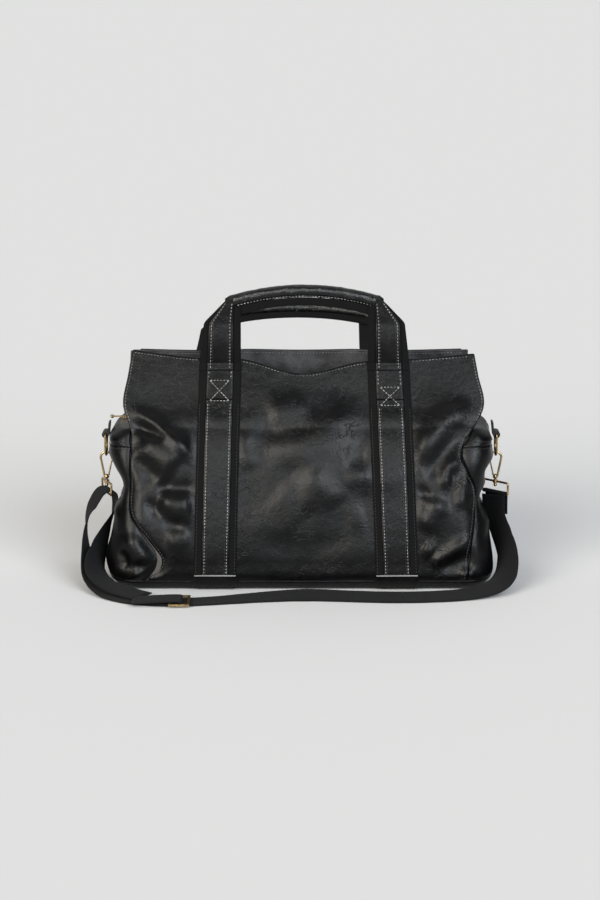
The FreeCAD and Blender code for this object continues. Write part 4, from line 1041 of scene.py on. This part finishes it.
def grip_points(origin, right, out, up):
    """The rolled grip: round in the middle, pinched and flared where it goes into the leather legs."""
    stations = np.linspace(-1, 1, 90)
    turns = np.linspace(0, 2 * math.pi, 28, endpoint=False)
    rings = []
    for s in stations:
        x = s * (GRIP_END + 0.006)
        rise = GRIP_RISE * (1 - min(abs(x) / GRIP_END, 1.0) ** 2) - 0.004 * max(0, abs(s) - 0.94) / 0.06
        slope = -2 * GRIP_RISE * x / GRIP_END**2 if abs(x) < GRIP_END else 0
        tilt = np.array([1.0, slope])
        tilt /= np.linalg.norm(tilt)
        flare = smooth_step(0.86, 1.0, abs(s))
        tall = GRIP_RADIUS * (1.0 + 0.10 * flare)
        deep = GRIP_RADIUS * (1.0 - 0.45 * flare)
        centre = origin + (HANDLE_MIDDLE + x) * right + (HAND_HEIGHT + rise) * up - 0.0035 * out
        lengthways = tilt[0] * right + tilt[1] * up
        raised = np.cross(out, lengthways)
        raised *= 1 if raised @ up > 0 else -1
        ring = []
        for turn in turns:
            wrinkle = 1 + 0.06 * noise.noise(Vector((x * 130, math.cos(turn) * 0.9, math.sin(turn) * 0.9)))
            wrinkle -= 0.03 * math.exp(-((turn - 5.4) / 0.16) ** 2)
            outward = out * math.cos(turn) * deep * wrinkle
            ring.append(centre + outward + raised * math.sin(turn) * tall * wrinkle)
        rings.append(ring)
    return np.array(rings)


# ---------------------------------------------------------------- zip

TOOTH_PITCH = 0.0026


def make_zip():
    """The two zip flaps with their stitches, tapes and teeth, and the chain's ends past them."""
    rows = Stitches()
    for side, name in ((-1, "front"), (1, "rear")):
        x, v = np.meshgrid(np.linspace(-0.184, 0.184, 101), np.linspace(0, 1, 22))
        y = side * (0.0105 + v * 0.0540)
        sag = 0.0022 * np.sin(math.pi * v) * (0.6 + 0.4 * np.cos(x * 23 + side))
        lump = smooth_noise(np.stack([x, y, 0 * x], -1), 0.03, 9) * 0.0012 * np.sin(math.pi * v)
        z = 0.1904 - sag + lump
        points = np.stack([x, y, z], -1)
        grid_piece(f"{name}_zip_flap_leather", points, BODY_LEATHER, flip=side > 0, thickness=0.0015,
                   body=f"{name}_flap", replaces=(f"{name}_zip_flap",), slot="black_leather")
        for inset in (0.003, 0.0085):
            at = 0.0105 + inset
            line_x = np.linspace(-0.181, 0.181, 200)
            line = np.stack([line_x, np.full(200, side * at), np.full(200, 0.1905)], -1)
            target = rows if side < 0 else Stitches()
            target.row(line, np.tile([0, 0, 1.0], (200, 1)))
            if side > 0:
                target.piece(f"rear_zip_stitches_{int(inset * 1e4)}", BLACK_THREAD, "rear_flap")
        tape_y = np.linspace(0.0022, 0.0125, 6)
        tx, ty = np.meshgrid(np.linspace(-0.184, 0.184, 60), tape_y)
        tape = np.stack([tx, side * ty, np.full(tx.shape, 0.1893)], -1)
        grid_piece(f"{name}_zip_tape", tape, BLACK_WEBBING, flip=side > 0, thickness=0.0006, level=0,
                   body=f"{name}_flap", replaces=(f"{name}_zip_chain",), slot="zip_chain")
        places = np.arange(-0.1835, 0.1836, TOOTH_PITCH) + (TOOTH_PITCH / 2 if side > 0 else 0)
        make_teeth(f"{name}_zip_teeth", side, places, f"{name}_flap", 0.1895)
    rows.piece("front_zip_stitches", BLACK_THREAD, "front_flap")
    for hand, label in ((-1, "left"), (1, "right")):
        start, end = hand * 0.1865, hand * 0.2105
        tx, ty = np.meshgrid(np.linspace(start, end, 12), np.linspace(-0.0062, 0.0062, 6))
        droop = 0.0012 * ((np.abs(tx) - 0.1865) / 0.024) ** 2
        tape = np.stack([tx, ty, np.full(tx.shape, 0.1912) - droop], -1)
        piece = grid_piece(f"{label}_zip_tail", tape, BLACK_WEBBING, flip=hand > 0, thickness=0.0006, level=0)
        if hand < 0:
            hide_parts("zip_chain_ends")
        for side in (-1, 1):
            places = np.arange(0, 8) * TOOTH_PITCH * hand + start + (TOOTH_PITCH / 2 * hand if side > 0 else 0)
            make_teeth(f"{label}_zip_tail_teeth_{'a' if side < 0 else 'b'}", side, places, "root", 0.1912)


def make_teeth(name, side, places, body, height):
    """Metal zip teeth: small blocks with a rounded nose that reach past the middle."""
    middle = 0.0014
    outline = [(-0.00055, 0.0034), (-0.00055, 0.0008), (-0.0008, 0.0002), (-0.0005, -0.0006)]
    outline += [(-dx, dy) for dx, dy in reversed(outline)]
    points, faces = [], []
    for x in places:
        start = len(points)
        for z, grow in ((height - 0.0008, 1.0), (height + 0.0010, 1.0), (height + 0.0013, 0.75)):
            for dx, dy in outline:
                points.append((x + dx * grow, side * (middle + (dy - middle) * grow), z))
        count = len(outline)
        for layer in range(2):
            for corner in range(count):
                after = (corner + 1) % count
                base = start + layer * count
                faces.append((base + corner, base + after, base + count + after, base + count + corner))
        faces.append(tuple(start + 2 * count + corner for corner in range(count)))
        faces.append(tuple(start + corner for corner in reversed(range(count))))
    return new_piece(name, points, faces, ZIP_BRASS, body=body, smooth=False, slot="antique_brass")


# ---------------------------------------------------------------- shoulder strap

STRAP_WIDTH = 0.038
STRAP_THICK = 0.0016

# The strap's route from the right ring to the left ring and back to its slider, in millimetres:
# a point of its middle line, and the way that its upper face looks there.
STRAP_ROUTE = [
    ((233.6, -2.6, 96.8), (-0.75, -0.66, 0.0)),
    ((233.8, -3.4, 83), (-0.77, -0.64, 0.0)),
    ((238.5, -16, 63), (-0.85, -0.45, 0.1)),
    ((246.0, -44, 44), (-0.90, -0.20, 0.35)),
    ((246.0, -78, 26), (-0.70, -0.25, 0.65)),
    ((235.0, -112, 10), (-0.25, -0.20, 0.95)),
    ((202, -128, 3.4), (0, -0.10, 1)),
    ((160, -139, 2.8), (0, -0.10, 1)),
    ((108, -143, 2.8), (0, -0.10, 1)),
    ((56, -137, 2.9), (0, -0.10, 1)),
    ((6, -131, 3.4), (0, -0.14, 1)),
    ((-46, -138, 2.2), (0, -0.06, 1)),
    ((-96, -150, 1.0), (0, 0, 1)),
    ((-146, -161, 1.0), (0, 0, 1)),
    ((-190, -153, 1.0), (0, 0, 1)),
    ((-222, -126, 2.0), (0, 0, 1)),
    ((-243, -90, 6.5), (0.30, 0.10, 0.95)),
    ((-254, -55, 23), (0.75, 0.10, 0.60)),
    ((-260, -26, 48), (0.95, 0.10, 0.25)),
    ((-259, -8, 74), (0.96, 0.28, 0.0)),
    ((-249.5, -4.5, 93), (0.86, 0.30, -0.40)),
    ((-242, -2.1, 103.6), (0.50, 0.17, -0.85)),
    ((-230.5, 1.9, 103.6), (-0.50, -0.17, -0.85)),
    ((-225.5, 3.4, 94), (-0.90, -0.31, -0.30)),
    ((-227.5, -4, 73), (-0.97, -0.25, 0.0)),
    ((-236.5, -28, 51), (-0.93, -0.25, -0.25)),
    ((-244.5, -60, 32), (-0.80, -0.30, -0.50)),
    ((-242, -95, 17), (-0.30, -0.20, -0.93)),
    ((-218, -123, 7.0), (0, 0, -1)),
    ((-184, -141, 3.8), (0, 0, -1)),
]


def route_line():
    """The strap's smooth middle line with its facing directions, read from one spline."""
    curve = bpy.data.curves.new("strap_route", "CURVE")
    curve.dimensions = "3D"
    curve.resolution_u = 10
    spline = curve.splines.new("NURBS")
    spline.points.add(len(STRAP_ROUTE) - 1)
    for point, (place, _) in zip(spline.points, STRAP_ROUTE):
        point.co = (*(value / 1000 for value in place), 1)
    spline.order_u = 3
    spline.use_endpoint_u = True
    holder = bpy.data.objects.new("strap_route", curve)
    bpy.context.scene.collection.objects.link(holder)
    bpy.context.view_layer.update()
    mesh = bpy.data.meshes.new_from_object(holder.evaluated_get(bpy.context.evaluated_depsgraph_get()))
    line = np.array([vertex.co for vertex in mesh.vertices], float)
    bpy.data.objects.remove(holder)
    faces = np.array([face for _, face in STRAP_ROUTE], float)
    knots = np.concatenate([[0], np.arange(0.5, len(faces) - 2), [len(faces) - 2]])
    at = np.linspace(0, len(faces) - 2, len(line))
    facing = np.stack([np.interp(at, knots, faces[:, axis]) for axis in range(3)], -1)
    return line, facing


def make_shoulder_strap():
    line, facing = route_line()
    run = np.gradient(line, axis=0)
    run /= np.linalg.norm(run, axis=1, keepdims=True)
    across = np.cross(facing, run)
    across /= np.linalg.norm(across, axis=1, keepdims=True)
    normals = np.cross(run, across)
    half = STRAP_WIDTH / 2 * (1 + 0.006 * np.sin(np.arange(len(line)) * 0.9))
    seat = line - normals * STRAP_THICK / 2
    band_piece("shoulder_strap_webbing", seat, across, normals, half, STRAP_THICK, STRAP_WEBBING,
               replaces=("shoulder_strap",), slot="cotton_webbing")
    length = float(np.linalg.norm(np.diff(line, axis=0), axis=1).sum())
    return line, length


def make_slider_wrap():
    """The strap's sewn end: it lies on the slider and comes back under its middle bar."""
    low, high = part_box("strap_slider_wrap")
    middle_y = (low.y + high.y) / 2
    frame_low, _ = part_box("strap_slider")
    outline = [(low.x, high.z - 0.0030), (low.x + 0.020, high.z - 0.0020),
               (frame_low.x - 0.004, high.z - 0.0009), (frame_low.x + 0.004, high.z - 0.0007),
               (high.x - 0.0022, high.z - 0.0008),
               (high.x - 0.0009, high.z - 0.0022), (high.x - 0.0012, low.z + 0.0006)]
    line = np.array([(x, middle_y, z) for x, z in outline])
    fine = np.concatenate([np.linspace(a, b, 9)[:-1] for a, b in zip(line, line[1:])] + [line[-1:]])
    run = np.gradient(fine, axis=0)
    run /= np.linalg.norm(run, axis=1, keepdims=True)
    across = np.tile([0.0, 1.0, 0.0], (len(fine), 1))
    normals = np.cross(run, across)
    band_piece("strap_slider_wrap_webbing", fine - normals * 0.0007, across, normals, STRAP_WIDTH / 2 - 0.0004,
               0.0014, STRAP_WEBBING, body="strap_slider", replaces=("strap_slider_wrap",),
               slot="cotton_webbing")
    rows = Stitches()
    for x in (low.x + 0.004, low.x + 0.010):
        y = np.linspace(low.y + 0.003, high.y - 0.003, 30)
        line = np.stack([np.full(30, x), y, np.full(30, high.z - 0.0020)], -1)
        rows.row(line, np.tile([0.0, 0, 1.0], (30, 1)))
    rows.piece("strap_slider_stitches", BLACK_THREAD, "strap_slider")


RIGHT_RING_TURN = math.radians(-49)
RIGHT_BAR = np.array([0.236, 0.0, 0.0992])


def make_strap_fold():
    """The strap's other end, folded over the right ring's bar and sewn to itself, with a loose red thread."""
    along = np.array([math.cos(RIGHT_RING_TURN), math.sin(RIGHT_RING_TURN), 0.0])
    front = np.array([-along[1], along[0], 0.0])
    radius = 0.00245
    path = [RIGHT_BAR - front * radius + np.array([0, 0, -0.0010])]
    for turn in np.linspace(math.pi, 0, 13):
        path.append(RIGHT_BAR + front * radius * math.cos(turn) + np.array([0, 0, radius * math.sin(turn)]))
    for drop in np.linspace(0.002, 0.0245, 12):
        path.append(RIGHT_BAR + front * radius + np.array([0, 0, -drop]))
    line = np.array(path)
    run = np.gradient(line, axis=0)
    run /= np.linalg.norm(run, axis=1, keepdims=True)
    across = np.tile(along, (len(line), 1))
    normals = np.cross(run, across)
    outward = line - RIGHT_BAR
    normals *= np.where((normals * outward).sum(1, keepdims=True) < 0, -1, 1)
    band_piece("right_strap_fold_webbing", line - normals * 0.0007, across, normals, STRAP_WIDTH / 2 - 0.0003,
               0.0015, STRAP_WEBBING, replaces=("right_strap_fold",), slot="cotton_webbing")
    rows = Stitches()
    for drop in (0.012, 0.019):
        share = np.linspace(-0.016, 0.016, 20)[:, None]
        sewn = RIGHT_BAR + front * (radius + 0.0009) + along * share + np.array([0, 0, -drop])
        rows.row(sewn, np.tile(front, (20, 1)))
    rows.piece("right_strap_fold_stitches", BLACK_THREAD)
    tag = Stitches()
    place = RIGHT_BAR + along * 0.0186 - front * 0.0012 + np.array([0, 0, -0.031])
    tag.add(place, along * 0.8 + np.array([0, 0, -0.3]), -front, 0.0042, 0.00045)
    tag.piece("right_strap_red_thread", RED_THREAD)


make_sewn_straps()
make_panel_stitches()
make_handle("front", -1)
make_handle("rear", 1)
make_zip()
strap_line_points, strap_length = make_shoulder_strap()
make_slider_wrap()
make_strap_fold()


# ---------------------------------------------------------------- carried-over parts

for name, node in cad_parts.items():
    finish = BRASS if any(word in name for word in ("ring", "hook", "slider", "pull")) else EDGE_LEATHER
    for slot_index in range(len(node.material_slots)):
        node.material_slots[slot_index].material = finish


# ---------------------------------------------------------------- floor, light and camera

def make_floor():
    reach = 400.0
    mesh = bpy.data.meshes.new("floor")
    corners = [(-reach, -reach, 0), (reach, -reach, 0), (reach, reach, 0), (-reach, reach, 0)]
    mesh.from_pydata(corners, [], [(0, 1, 2, 3)])
    floor = bpy.data.objects.new("floor", mesh)
    bpy.context.scene.collection.objects.link(floor)
    material = bpy.data.materials.new("pale_floor")
    material.use_nodes = True
    tree = material.node_tree
    tree.nodes.clear()
    diffuse = tree.nodes.new("ShaderNodeBsdfDiffuse")
    diffuse.inputs["Color"].default_value = (0.520, 0.519, 0.521, 1)
    output = tree.nodes.new("ShaderNodeOutputMaterial")
    tree.links.new(diffuse.outputs[0], output.inputs[0])
    mesh.materials.append(material)


# Soft boxes in the sky: direction they are seen in, inner and outer spread in degrees, colour, strength.
SOFT_BOXES = [
    ((0.0, 0.60, 1.0), 28, 62, (1.0, 1.0, 1.0), 1.0),
    ((-0.50, -0.82, 0.38), 7, 24, (1.0, 0.965, 0.88), 15.0),
    ((0.05, -1.0, 0.24), 2, 13, (0.84, 0.92, 1.0), 4.5),
    ((0.46, -0.84, 0.44), 6, 22, (0.90, 0.95, 1.0), 15.0),
    ((0.35, -1.0, 1.0), 6, 26, (0.88, 0.94, 1.0), 0.3),
]
SKY_BASE = 0.006


def make_light():
    """A dark studio with soft boxes of light, all at a distance, so that the floor is lit evenly."""
    world = bpy.data.worlds.new("studio")
    bpy.context.scene.world = world
    world.use_nodes = True
    tree = world.node_tree
    background = tree.nodes["Background"]
    direction = tree.nodes.new("ShaderNodeTexCoord").outputs["Generated"]
    total = None
    for towards, inner, outer, colour, strength in SOFT_BOXES:
        dot = tree.nodes.new("ShaderNodeVectorMath")
        dot.operation = "DOT_PRODUCT"
        tree.links.new(direction, dot.inputs[0])
        dot.inputs[1].default_value = Vector(towards).normalized()
        soft = tree.nodes.new("ShaderNodeMapRange")
        soft.interpolation_type = "SMOOTHSTEP"
        tree.links.new(dot.outputs["Value"], soft.inputs["Value"])
        soft.inputs["From Min"].default_value = math.cos(math.radians(outer))
        soft.inputs["From Max"].default_value = math.cos(math.radians(inner))
        scaled = tree.nodes.new("ShaderNodeVectorMath")
        scaled.operation = "SCALE"
        scaled.inputs[0].default_value = [channel * strength for channel in colour]
        tree.links.new(soft.outputs[0], scaled.inputs["Scale"])
        if total is None:
            total = scaled.outputs[0]
        else:
            add = tree.nodes.new("ShaderNodeVectorMath")
            add.operation = "ADD"
            tree.links.new(total, add.inputs[0])
            tree.links.new(scaled.outputs[0], add.inputs[1])
            total = add.outputs[0]
    base = tree.nodes.new("ShaderNodeVectorMath")
    base.operation = "ADD"
    base.inputs[1].default_value = (SKY_BASE, SKY_BASE, SKY_BASE)
    tree.links.new(total, base.inputs[0])
    tree.links.new(base.outputs[0], background.inputs["Color"])
    background.inputs["Strength"].default_value = 1.0


CAMERA_TARGET = Vector((-0.0012, -0.03, 0.157))
CAMERA_DISTANCE = 3.0
CAMERA_ELEVATION = math.radians(10.5)


def make_camera():
    camera = bpy.data.cameras.new("camera")
    camera.lens = 100
    camera.sensor_width = 36
    holder = bpy.data.objects.new("camera", camera)
    bpy.context.scene.collection.objects.link(holder)
    away = Vector((0, -math.cos(CAMERA_ELEVATION), math.sin(CAMERA_ELEVATION)))
    holder.location = CAMERA_TARGET + away * CAMERA_DISTANCE
    holder.rotation_euler = (math.pi / 2 - CAMERA_ELEVATION, 0, 0)
    bpy.context.scene.camera = holder


make_floor()
make_light()
make_camera()
bpy.context.scene.view_settings.view_transform = "Standard"
